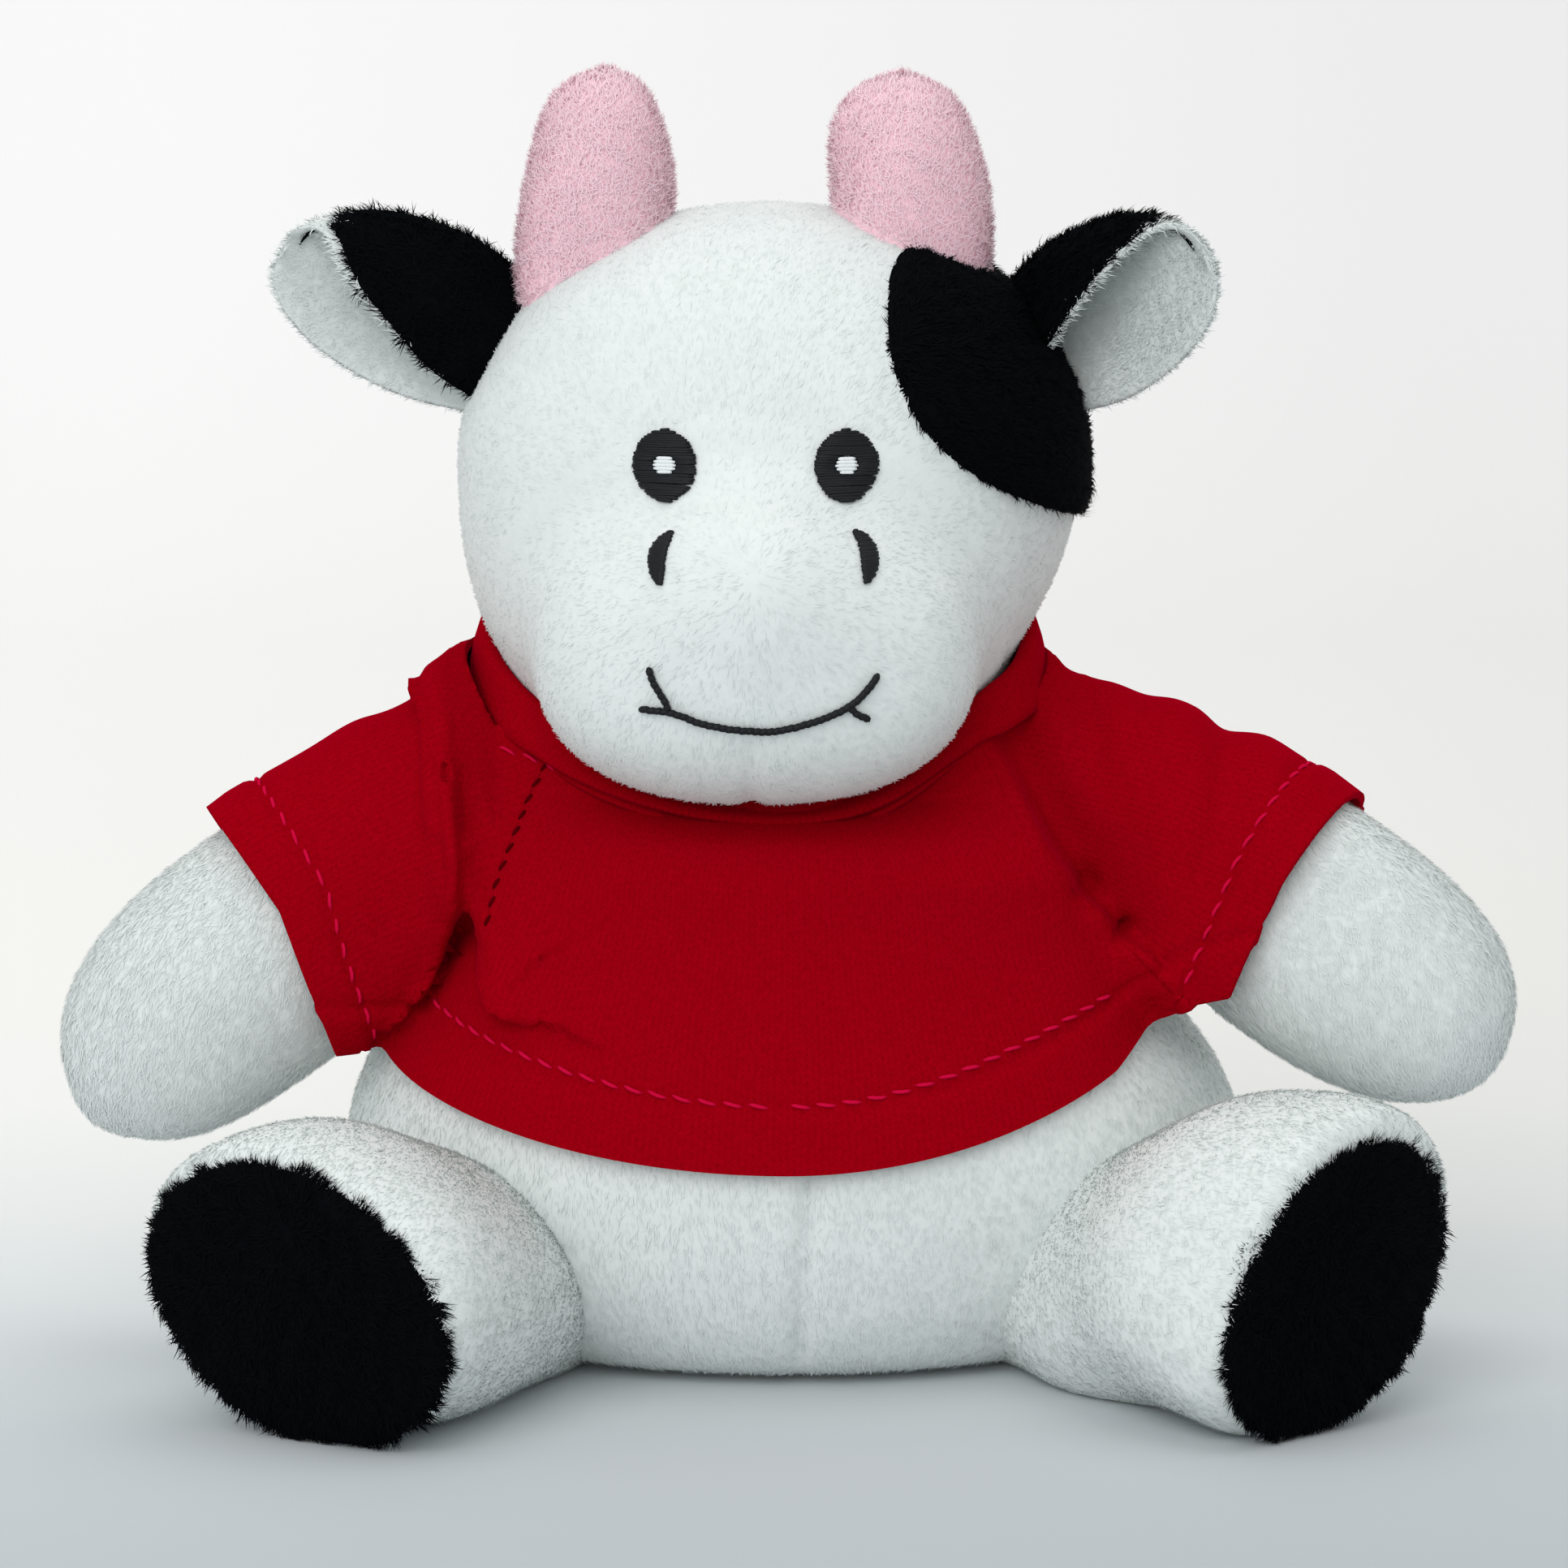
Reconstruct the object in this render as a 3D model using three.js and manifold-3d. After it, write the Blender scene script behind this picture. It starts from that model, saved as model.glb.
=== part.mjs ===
// A stuffed toy cow that sits upright in a T-shirt, in millimetres, +Z up.
// It faces -Y, its left side is +X, and the origin lies on the floor under the middle of its outer box.
import * as THREE from "three";
import { mergeVertices } from "three/addons/utils/BufferGeometryUtils.js";
import Module from "manifold-3d";

const wasm = await Module();
wasm.setup();

// Cloth and clearances
const GAP = 0.3; // air between two pieces that lie on each other
const PLUSH = 1.5; // plush backing with its pressed pile
const JERSEY = 0.9; // T-shirt cloth
const THREAD = 0.9; // height of the embroidery above the pile
const BASE_CUT = 0.5; // how deep the seat is flattened by its weight
const FAR = 200; // beyond the toy on every side

// Body: a squat pear
const BODY_X = 0.6;
const BODY_Y = 8.8;
const BODY_WIDTH = 106;
const BODY_DEPTH = 84;
const BODY_HEIGHT = 78;
const POUCH_WIDTH = 70; // bag of pellets in the seat
const POUCH_DEPTH = 52;
const POUCH_HEIGHT = 18;

// Head
const HEAD_X = -1.8;
const HEAD_WIDTH = 73;
const HEAD_DEPTH = 62;
const HEAD_HEIGHT = 67;
const NECK_SINK = 11.5; // how far the neck stands up into the head
const NECK_OPENING = 30;
const HEAD_TURN = 10; // degrees to each side

// Muzzle: a wide low pad with a soft nose bulge over it
const FACE_X = -3.2; // middle of the muzzle, the eyes, the mouth and the horns
const MUZZLE_WIDTH = 53;
const MUZZLE_DEPTH = 40;
const MUZZLE_HEIGHT = 35;
const MUZZLE_DROP = 17; // its middle under the head's middle
const MUZZLE_REACH = 13; // how far it stands out in front of the head
const NOSE_WIDTH = 25;
const NOSE_HEIGHT = 26;
const NOSE_DROP = 8;
const NOSE_REACH = 13.8;

// Face embroidery
const EYE_SPACING = 20.5;
const EYE_RISE = 5.5; // above the head's middle
const EYE_WIDTH = 7.4;
const EYE_HEIGHT = 8.3;
const GLINT_WIDTH = 2.6;
const GLINT_HEIGHT = 2.2;
const NOSTRIL_SPACING = 22.6;
const NOSTRIL_DROP = 4.2; // under the head's middle
const NOSTRIL_WIDTH = 2.2;
const NOSTRIL_HEIGHT = 6;
const MOUTH_WIDTH = 26;
const MOUTH_DROP = 23.2; // its lowest point under the head's middle
const MOUTH_RISE = 3.2; // of its two ends
const MOUTH_LINE = 1;

// Black patch over the left eye's corner and the temple
const PATCH_INSET = 15; // of its inner edge from the face's middle
const PATCH_TOP = 29; // above the head's middle
const PATCH_DROP = 2.5; // of its lower corner under the head's middle
const PATCH_BACK = 6; // behind the head's middle

// Horns
const HORN_SPACING = 37.2;
const HORN_WIDTH = 18;
const HORN_DEPTH = 15;
const HORN_HEIGHT = 20.2; // above the crown of the head's side where it is sewn on
const HORN_SEAT = 8; // how deep its root reaches under the crown
const HORN_LEAN = 2; // of its tip towards the middle
const HORN_Y = -3; // of its root in front of the head's middle

// Ears
const EAR_LENGTH = 26.5;
const EAR_WIDTH = 21;
const EAR_FOLD = 12; // depth of the folded ear, front to back
const EAR_CLOTH = 1.2;
const EAR_RISE = 16.5; // of its root above the head's middle
const EAR_LIFT = 25; // of its tip above level, in degrees
const EAR_FOOT = 248; // where the lower edge lies, in degrees over level to the front
const EAR_FORWARD = { left: 44, right: 10 }; // turn of its tip to the front, in degrees
const EAR_FLAP = 15; // degrees up and down

// Arms
const SHOULDER_Z = 62;
const SHOULDER_Y = -2; // in front of the body's middle
const SHOULDER_BALL = 11;
const ARM_LENGTH = 62;
const ARM_THICKNESS = 29.5;
const ARM_DEPTH = 25;
const ARM_DROP = { left: 14, right: 18 }; // angle of each arm's first stretch below level, in degrees
const ARM_BEND = 32; // how much further down the hand points
const ARM_FORWARD = { left: 0.32, right: 0.16 }; // of each arm, to its reach sideways
const ARM_RAISE = 40; // degrees
const ARM_LOWER = 3; // degrees

// Legs
const HIP_SPREAD = 31.5; // from the body's middle
const HIP_Y = -20; // in front of the body's middle
const HIP_BALL = 12.5;
const LEG_LENGTH = 44.5;
const LEG_SWELL = 1.06; // of the leg over the foot's short axis
const FOOT_LONG = 43.5;
const FOOT_SHORT = 31;
const FOOT_ROLL = { left: 52, right: 70 }; // lean of each foot's long axis from upright, in degrees
const LEG_OPEN = 12; // degrees that a leg swings out
const SPLAY = { left: 41, right: 31 }; // of each leg from straight ahead, in degrees
const SOLE_SIZE = { left: 0.88, right: 0.95 }; // of each sole, to the end of its foot
const SOLE_DROP = { left: 2.2, right: 1.4 }; // of each sole's middle under the foot's

// Tail
const TAIL_Z = 17;
const TAIL_LENGTH = 20;
const TAIL_WIDTH = 5;
const TUFT_LENGTH = 13;
const TUFT_WIDTH = 8.5;
const TAIL_SWING = 20; // degrees to each side

// T-shirt
const SHIRT_EASE = 0.5; // between the body and the cloth
const HEM_FRONT = 27; // height of the hem
const HEM_BACK = 47;
const COLLAR_FRONT = 64.5; // height of the neckline
const COLLAR_BACK = 88;
const COLLAR_SPREAD = 1.8; // of the neckline outside the head's widest section there
const COLLAR_ROLL = 3.6; // thickness of the rolled binding
const RAGLAN_TOP = 29; // of the raglan seam from the body's middle, at the neckline's front
const RAGLAN_FOOT = 36.5; // the same at the armpit
const ARMPIT_Z = 48;
const SLEEVE_LENGTH = 31; // from the shoulder along the arm
const SLEEVE_EASE = 1.4; // between the arm and the cuff
const SLEEVE_BUNCH = 3; // of the cloth over the shoulder
const SHIRT_FOLD = 0.9; // depth of the folds in the cloth

const WHITE_PLUSH = new THREE.MeshStandardMaterial({ color: 0xe6ecea, roughness: 0.95, metalness: 0 });
const BLACK_PLUSH = new THREE.MeshStandardMaterial({ color: 0x0b0d10, roughness: 0.95, metalness: 0 });
const PINK_PLUSH = new THREE.MeshStandardMaterial({ color: 0xf5bccb, roughness: 0.95, metalness: 0 });
const RED_JERSEY = new THREE.MeshStandardMaterial({ color: 0xa50524, roughness: 0.85, metalness: 0 });
const BLACK_THREAD = new THREE.MeshStandardMaterial({ color: 0x08090b, roughness: 0.55, metalness: 0 });
const WHITE_THREAD = new THREE.MeshStandardMaterial({ color: 0xf2f4f4, roughness: 0.55, metalness: 0 });
const FIBRE = new THREE.MeshStandardMaterial({ color: 0xf4f4f1, roughness: 1, metalness: 0 });
const PELLET_CLOTH = new THREE.MeshStandardMaterial({ color: 0xcfcfca, roughness: 0.9, metalness: 0 });

const cow = new THREE.Group();
const UP = new THREE.Vector3(0, 0, 1);
const radians = THREE.MathUtils.degToRad;

function add(name, solid, material) {
  const mesh = new THREE.Mesh(geometryOf(solid), material);
  mesh.name = name;
  cow.add(mesh);
}

// Solids and meshes

function solidOf(geometry) {
  const bare = geometry.clone();
  bare.deleteAttribute("normal");
  bare.deleteAttribute("uv");
  const merged = mergeVertices(bare, 1e-4);
  return new wasm.Manifold(
    new wasm.Mesh({
      numProp: 3,
      vertProperties: new Float32Array(merged.attributes.position.array),
      triVerts: new Uint32Array(merged.index.array),
    }),
  );
}

// The largest body of a solid: the crumbs that a cut leaves are dropped.
function geometryOf(solid) {
  const body = solid.decompose().sort((a, b) => b.volume() - a.volume())[0];
  const mesh = body.getMesh();
  const geometry = new THREE.BufferGeometry();
  geometry.setAttribute("position", new THREE.BufferAttribute(mesh.vertProperties, 3));
  geometry.setIndex(new THREE.BufferAttribute(mesh.triVerts, 1));
  geometry.computeVertexNormals();
  return geometry;
}

// A closed skin over rings of points. Each ring runs anticlockwise seen from the last ring.
function skinOver(rings) {
  const sides = rings[0].length;
  const points = rings.flat();
  const faces = [];
  for (let k = 0; k + 1 < rings.length; k++) {
    for (let i = 0; i < sides; i++) {
      const a = k * sides + i;
      const b = k * sides + ((i + 1) % sides);
      faces.push(a, b, b + sides, a, b + sides, a + sides);
    }
  }
  const last = (rings.length - 1) * sides;
  for (let i = 1; i + 1 < sides; i++) {
    faces.push(0, i + 1, i);
    faces.push(last, last + i, last + i + 1);
  }
  return facedOut(points, faces);
}

// A closed sheet between two grids of points of the same size, such as the two faces of a cloth panel
function sheetBetween(outer, inner) {
  const rows = outer.length;
  const columns = outer[0].length;
  const points = [...outer.flat(), ...inner.flat()];
  const under = rows * columns;
  const faces = [];
  const quad = (a, b, c, d) => faces.push(a, b, c, a, c, d);
  for (let r = 0; r + 1 < rows; r++) {
    for (let c = 0; c + 1 < columns; c++) {
      const at = r * columns + c;
      quad(at, at + 1, at + 1 + columns, at + columns);
      quad(under + at, under + at + columns, under + at + 1 + columns, under + at + 1);
    }
    const left = r * columns;
    const right = left + columns - 1;
    quad(left, left + columns, under + left + columns, under + left);
    quad(right, under + right, under + right + columns, right + columns);
  }
  const far = (rows - 1) * columns;
  for (let c = 0; c + 1 < columns; c++) {
    quad(c, under + c, under + c + 1, c + 1);
    quad(far + c, far + c + 1, under + far + c + 1, under + far + c);
  }
  return facedOut(points, faces);
}

// A solid of these faces, all turned round if they point inwards
function facedOut(points, faces) {
  let volume = 0;
  for (let i = 0; i < faces.length; i += 3) {
    const [a, b, c] = [points[faces[i]], points[faces[i + 1]], points[faces[i + 2]]];
    volume += a.dot(b.clone().cross(c)) / 6;
  }
  if (volume < 0) faces.reverse();
  const geometry = new THREE.BufferGeometry().setFromPoints(points);
  geometry.setIndex(faces);
  return solidOf(geometry);
}

function ovalRing(centre, across, along, sides) {
  return Array.from({ length: sides }, (_, i) => {
    const turn = (2 * Math.PI * i) / sides;
    return centre
      .clone()
      .addScaledVector(across, Math.cos(turn))
      .addScaledVector(along, Math.sin(turn));
  });
}

// A smooth run through rows of [place, half width, half depth].
function smooth(rows, steps) {
  return new THREE.CatmullRomCurve3(rows.map((row) => new THREE.Vector3(...row))).getPoints(steps);
}

// A row of the same run at one place.
function rowAt(rows, place) {
  const run = smooth(rows, 80);
  return run.reduce((best, row) => (Math.abs(row.x - place) < Math.abs(best.x - place) ? row : best));
}

// An upright form through rows of [height, half width, half depth], grown by a margin all round.
function uprightForm(x, y, rows, margin, sides, steps) {
  const low = rows[0][0];
  const high = rows[rows.length - 1][0];
  const middle = (low + high) / 2;
  const stretch = 1 + (2 * margin) / (high - low);
  const rings = smooth(rows, steps).map((row) =>
    ovalRing(
      new THREE.Vector3(x, y, middle + (row.x - middle) * stretch),
      new THREE.Vector3(row.y + margin, 0, 0),
      new THREE.Vector3(0, row.z + margin, 0),
      sides,
    ),
  );
  return skinOver(rings);
}

function ellipsoid(centre, width, depth, height, margin, detail) {
  const form = new THREE.SphereGeometry(1, detail, Math.round(detail * 0.6));
  form.rotateX(Math.PI / 2);
  form.scale(width / 2 + margin, depth / 2 + margin, height / 2 + margin);
  form.translate(centre.x, centre.y, centre.z);
  return solidOf(form);
}

function block(low, high) {
  const box = new THREE.BoxGeometry(high.x - low.x, high.y - low.y, high.z - low.z);
  box.translate((low.x + high.x) / 2, (low.y + high.y) / 2, (low.z + high.z) / 2);
  return solidOf(box);
}

// A prism along Y over an outline of [x, z] points, from one depth to another.
function prismAlongY(outline, front, back) {
  const form = new THREE.ExtrudeGeometry(new THREE.Shape(outline.map(([x, z]) => new THREE.Vector2(x, z))), {
    depth: back - front,
    bevelEnabled: false,
  });
  form.rotateX(Math.PI / 2);
  form.translate(0, back, 0);
  return solidOf(form);
}

function oval(x, z, width, height, count) {
  return Array.from({ length: count }, (_, i) => {
    const turn = (2 * Math.PI * i) / count;
    return [x + (width / 2) * Math.cos(turn), z + (height / 2) * Math.sin(turn)];
  });
}

// The solid turned by an angle in degrees about an axis through a pivot.
function turned(solid, pivot, axis, angle) {
  const matrix = new THREE.Matrix4()
    .makeTranslation(pivot)
    .multiply(new THREE.Matrix4().makeRotationAxis(axis, radians(angle)))
    .multiply(new THREE.Matrix4().makeTranslation(pivot.clone().negate()));
  return solid.transform(matrix.toArray());
}

// What a fixed solid takes out of a piece that turns past it, from one angle to another.
function passing(solid, pivot, axis, from, to, steps) {
  let all = turned(solid, pivot, axis, -from);
  for (let i = 1; i <= steps; i++) {
    all = all.add(turned(solid, pivot, axis, -(from + ((to - from) * i) / steps)));
  }
  return all;
}

// The shared forms, each grown by a margin

const headMiddle = new THREE.Vector3(HEAD_X, BODY_Y, BODY_HEIGHT - NECK_SINK + HEAD_HEIGHT / 2);
const headFront = headMiddle.y - HEAD_DEPTH / 2;
const neckPivot = new THREE.Vector3(HEAD_X, BODY_Y, BODY_HEIGHT - NECK_SINK);

// Shares of [height, half width, half depth] from the seat to the neck
const BODY_SHAPE = [
  [0, 0.64, 0.62],
  [0.04, 0.78, 0.79],
  [0.1, 0.89, 0.91],
  [0.2, 0.97, 0.98],
  [0.31, 1, 1],
  [0.42, 0.955, 0.96],
  [0.52, 0.865, 0.9],
  [0.63, 0.775, 0.82],
  [0.74, 0.69, 0.74],
  [0.84, 0.59, 0.67],
  [0.93, 0.48, 0.57],
  [1, 0.37, 0.46],
];
const bodyRows = BODY_SHAPE.map(([up, wide, deep]) => [
  up * (BODY_HEIGHT + BASE_CUT) - BASE_CUT,
  (wide * BODY_WIDTH) / 2,
  (deep * BODY_DEPTH) / 2,
]);

function bodyForm(margin, count = 28, steps = 13) {
  return uprightForm(BODY_X, BODY_Y, bodyRows, margin, count, steps);
}

// Shares of [height, half width, half depth] from chin to crown
const HEAD_SHAPE = [
  [-1, 0.05, 0.05],
  [-0.94, 0.38, 0.4],
  [-0.78, 0.65, 0.67],
  [-0.54, 0.85, 0.86],
  [-0.27, 0.965, 0.97],
  [0, 1, 1],
  [0.25, 0.985, 0.98],
  [0.48, 0.9, 0.9],
  [0.7, 0.755, 0.75],
  [0.87, 0.535, 0.53],
  [0.96, 0.32, 0.32],
  [1, 0.05, 0.05],
];
const headRows = HEAD_SHAPE.map(([up, wide, deep]) => [
  headMiddle.z + (up * HEAD_HEIGHT) / 2,
  (wide * HEAD_WIDTH) / 2,
  (deep * HEAD_DEPTH) / 2,
]);

function headForm(margin, count = 28, steps = 14) {
  return uprightForm(headMiddle.x, headMiddle.y, headRows, margin, count, steps);
}

function muzzleForm(margin, detail = 22) {
  const padMiddle = new THREE.Vector3(
    FACE_X,
    headFront - MUZZLE_REACH + MUZZLE_DEPTH / 2,
    headMiddle.z - MUZZLE_DROP,
  );
  const noseMiddle = new THREE.Vector3(
    FACE_X,
    headFront - NOSE_REACH + MUZZLE_DEPTH / 2,
    headMiddle.z - NOSE_DROP,
  );
  const pad = ellipsoid(padMiddle, MUZZLE_WIDTH, MUZZLE_DEPTH, MUZZLE_HEIGHT, margin, detail);
  const nose = ellipsoid(noseMiddle, NOSE_WIDTH, MUZZLE_DEPTH, NOSE_HEIGHT, margin, detail - 4);
  return pad.add(nose);
}

// A piece of cloth or thread that lies on a form, cut to a prism.
function laidOn(form, prism, thickness) {
  return form(GAP + thickness).subtract(form(GAP)).intersect(prism);
}

// Everything that the turning head sweeps, with its clearance
const headRoom = passing(
  headForm(2 * GAP, 20, 10).add(muzzleForm(2 * GAP, 16)),
  neckPivot,
  UP,
  -HEAD_TURN,
  HEAD_TURN,
  2,
);
const floorBlock = block(new THREE.Vector3(-FAR, -FAR, -FAR), new THREE.Vector3(FAR, FAR, 0));

// Limbs: a ball root in the body, then a stretch that swells and ends round

const sides = [
  { side: "left", way: 1 },
  { side: "right", way: -1 },
];

function sideOf(way) {
  return way > 0 ? "left" : "right";
}

function shoulder(way) {
  const reach = rowAt(bodyRows, SHOULDER_Z).y - 2;
  return new THREE.Vector3(BODY_X + way * reach, BODY_Y + SHOULDER_Y, SHOULDER_Z);
}

function hip(way) {
  const roll = radians(FOOT_ROLL[sideOf(way)]);
  const reach = Math.hypot(FOOT_LONG * Math.cos(roll), LEG_SWELL * FOOT_SHORT * Math.sin(roll)) / 2;
  return new THREE.Vector3(BODY_X + way * HIP_SPREAD, BODY_Y + HIP_Y, reach - BASE_CUT);
}

// Shares of the arm's length, thickness and depth
const ARM_SHAPE = [
  [-0.12, 0.5, 0.6],
  [0, 0.72, 0.8],
  [0.2, 0.88, 0.88],
  [0.45, 1, 1],
  [0.68, 0.98, 0.98],
  [0.86, 0.76, 0.76],
  [0.96, 0.42, 0.42],
  [1, 0.05, 0.05],
];

// A point and direction of the arm's bent middle line
function armMiddle(way, share) {
  const steps = 24;
  const point = shoulder(way);
  let direction;
  for (let i = 0; i <= steps; i++) {
    const slope = radians(ARM_DROP[sideOf(way)] + ((ARM_BEND * i) / steps) * Math.max(share, 0));
    direction = new THREE.Vector3(way * Math.cos(slope), -ARM_FORWARD[sideOf(way)], -Math.sin(slope)).normalize();
    if (i > 0) point.addScaledVector(direction, (ARM_LENGTH * share) / steps);
  }
  return { point, direction };
}

function armForm(way) {
  const rings = smooth(ARM_SHAPE, 11).map((row) => {
    const { point, direction } = armMiddle(way, row.x);
    const across = new THREE.Vector3(0, 1, 0).cross(direction).normalize();
    const deep = direction.clone().cross(across);
    across.multiplyScalar((row.y * ARM_THICKNESS) / 2);
    deep.multiplyScalar((row.z * ARM_DEPTH) / 2);
    return ovalRing(point, across, deep, 16);
  });
  return skinOver(rings);
}

// Shares of the leg's length, long half axis and short half axis
const LEG_SHAPE = [
  [-0.1, 0.52, 0.62],
  [0.1, 0.62, 0.76],
  [0.35, 0.81, 0.93],
  [0.6, 0.95, 0.97 * LEG_SWELL],
  [0.82, 1, 0.98 * LEG_SWELL],
  [0.95, 0.98, 0.985],
  [1, 0.92, 0.92],
];

function legFrame(way) {
  const splay = radians(SPLAY[sideOf(way)]);
  const direction = new THREE.Vector3(way * Math.sin(splay), -Math.cos(splay), 0);
  const level = new THREE.Vector3(way * Math.cos(splay), Math.sin(splay), 0);
  const roll = radians(FOOT_ROLL[sideOf(way)]);
  const long = level.clone().multiplyScalar(Math.sin(roll)).addScaledVector(UP, Math.cos(roll));
  const short = level.clone().multiplyScalar(Math.cos(roll)).addScaledVector(UP, -Math.sin(roll));
  if (way < 0) short.negate();
  return { direction, long, short };
}

// Rings of a leg through rows of [place along it, share of the long and of the short half axis, drop]
function legRings(way, rows) {
  const { direction, long, short } = legFrame(way);
  return rows.map(([along, wide, deep, drop]) =>
    ovalRing(
      hip(way).addScaledVector(direction, along).addScaledVector(UP, -drop),
      short.clone().multiplyScalar((deep * FOOT_SHORT) / 2),
      long.clone().multiplyScalar((wide * FOOT_LONG) / 2),
      20,
    ),
  );
}

// The leg rests on the floor along its whole length.
function legForm(way) {
  const rise = hip(way).z + BASE_CUT;
  const rows = smooth(LEG_SHAPE, 8).map((row) => [row.x * LEG_LENGTH, row.y, row.z, rise * (1 - row.y)]);
  return skinOver(legRings(way, rows));
}

// Shares of the sole's thickness and of its width
const SOLE_SHAPE = [
  [0, 0.93],
  [0.6, 0.9],
  [1, 0.72],
  [1.3, 0.3],
];

function soleForm(way) {
  const start = LEG_LENGTH + GAP;
  const size = SOLE_SIZE[sideOf(way)];
  const rows = SOLE_SHAPE.map(([out, wide]) => [start + out * PLUSH, wide * size, wide * size, SOLE_DROP[sideOf(way)]]);
  return skinOver(legRings(way, rows));
}

// T-shirt: one cloth wall round the body and the arms, then cut along its seams

const shirtFront = BODY_Y - BODY_DEPTH / 2;
const shirtBack = BODY_Y + BODY_DEPTH / 2;

// Height of the neckline at a share of the way from its front (0) to its back (1)
function necklineAt(share) {
  const bound = THREE.MathUtils.clamp(share, 0, 1);
  return COLLAR_FRONT + (COLLAR_BACK - COLLAR_FRONT) * Math.sin((bound * Math.PI) / 2);
}

const sideCollar = necklineAt(0.5);
const collarRow = rowAt(headRows, sideCollar);
const collarReach = collarRow.z + COLLAR_SPREAD; // of the neckline, to the front and to the back
const shoulderRow = rowAt(bodyRows, SHOULDER_Z);
const shirtRows = [
  ...bodyRows.filter((row) => row[0] > HEM_FRONT - 15 && row[0] < SHOULDER_Z - 8),
  [SHOULDER_Z, shoulderRow.y + 4, shoulderRow.z + 1.5],
  [sideCollar, collarRow.y + COLLAR_SPREAD, collarReach],
  [COLLAR_BACK + 6, collarRow.y + COLLAR_SPREAD, collarReach],
];

// The shirt leans from the body's middle to the head's over the shoulders.
function shirtMiddle(height) {
  return THREE.MathUtils.lerp(BODY_X, HEAD_X, THREE.MathUtils.smoothstep(height, SHOULDER_Z - 6, sideCollar));
}

function shirtBody(margin) {
  const rings = smooth(shirtRows, 9).map((row) =>
    ovalRing(
      new THREE.Vector3(shirtMiddle(row.x), BODY_Y, row.x),
      new THREE.Vector3(row.y + margin, 0, 0),
      new THREE.Vector3(0, row.z + margin, 0),
      30,
    ),
  );
  return skinOver(rings);
}

// A sleeve round the arm, bunched up at the shoulder and folded towards the cuff
function sleeveForm(way, margin, run) {
  const stations = 8;
  const rings = Array.from({ length: stations }, (_, k) => {
    const along = (k / (stations - 1)) * (SLEEVE_LENGTH + run + SHOULDER_BALL) - SHOULDER_BALL;
    const out = Math.max(along / SLEEVE_LENGTH, 0);
    const { point, direction } = armMiddle(way, along / ARM_LENGTH);
    const row = rowAt(ARM_SHAPE, Math.max(along / ARM_LENGTH, 0));
    const across = new THREE.Vector3(0, 1, 0).cross(direction).normalize();
    const deep = direction.clone().cross(across);
    const bunch = SLEEVE_BUNCH * Math.max(1 - out, 0);
    return Array.from({ length: 18 }, (_, i) => {
      const turn = (2 * Math.PI * i) / 18;
      const fold = SHIRT_FOLD * out * Math.sin(3 * turn + 4 * out);
      const loose = SLEEVE_EASE + margin + fold;
      return point
        .clone()
        .addScaledVector(across, ((row.y * ARM_THICKNESS) / 2 + loose + bunch) * Math.cos(turn))
        .addScaledVector(deep, ((row.z * ARM_DEPTH) / 2 + loose) * Math.sin(turn));
    });
  });
  return skinOver(rings);
}

// A prism across the whole toy over an outline of [y, z] points
function prismAlongX(outline) {
  const shape = new THREE.Shape(outline.map(([y, z]) => new THREE.Vector2(y, z)));
  const form = new THREE.ExtrudeGeometry(shape, { depth: 2 * FAR, bevelEnabled: false });
  form.rotateX(Math.PI / 2);
  form.rotateZ(Math.PI / 2);
  form.translate(-FAR, 0, 0);
  return solidOf(form);
}

// Everything over the hem, which rises to the back
function overHem(drop) {
  const slope = (HEM_BACK - HEM_FRONT) / (shirtBack - shirtFront);
  return prismAlongX([
    [shirtFront - FAR, HEM_FRONT - slope * FAR - drop],
    [shirtBack + FAR, HEM_BACK + slope * FAR - drop],
    [shirtBack + FAR, FAR + HEM_BACK],
    [shirtFront - FAR, FAR + HEM_BACK],
  ]);
}

// Everything under the neckline, which rises from the chin to the nape
function underNeckline(drop) {
  const count = 10;
  const line = Array.from({ length: count + 1 }, (_, i) => {
    const share = 1 - i / count;
    return [BODY_Y + collarReach * (2 * share - 1), necklineAt(share) - drop];
  });
  return prismAlongX([
    [shirtFront - FAR, -FAR],
    [shirtBack + FAR, -FAR],
    [shirtBack + FAR, COLLAR_BACK - drop],
    ...line,
    [shirtFront - FAR, COLLAR_FRONT - drop],
  ]);
}

// The sleeve's side of its raglan seam, and all of the sleeve that hangs under the armpit
function sleeveSide(way, margin) {
  const slope = (RAGLAN_FOOT - RAGLAN_TOP) / (COLLAR_FRONT - ARMPIT_Z);
  const foot = RAGLAN_FOOT - margin;
  const over = foot - slope * (COLLAR_BACK + 10 - ARMPIT_Z);
  const outline = [
    [BODY_X + way * foot, ARMPIT_Z - margin],
    [BODY_X + way * FAR, ARMPIT_Z - margin],
    [BODY_X + way * FAR, COLLAR_BACK + 10],
    [BODY_X + way * over, COLLAR_BACK + 10],
  ];
  const hanging = sleeveForm(way, JERSEY + margin, margin).subtract(shirtBody(SHIRT_EASE + JERSEY));
  return prismAlongY(outline, -FAR, FAR).add(hanging);
}

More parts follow.
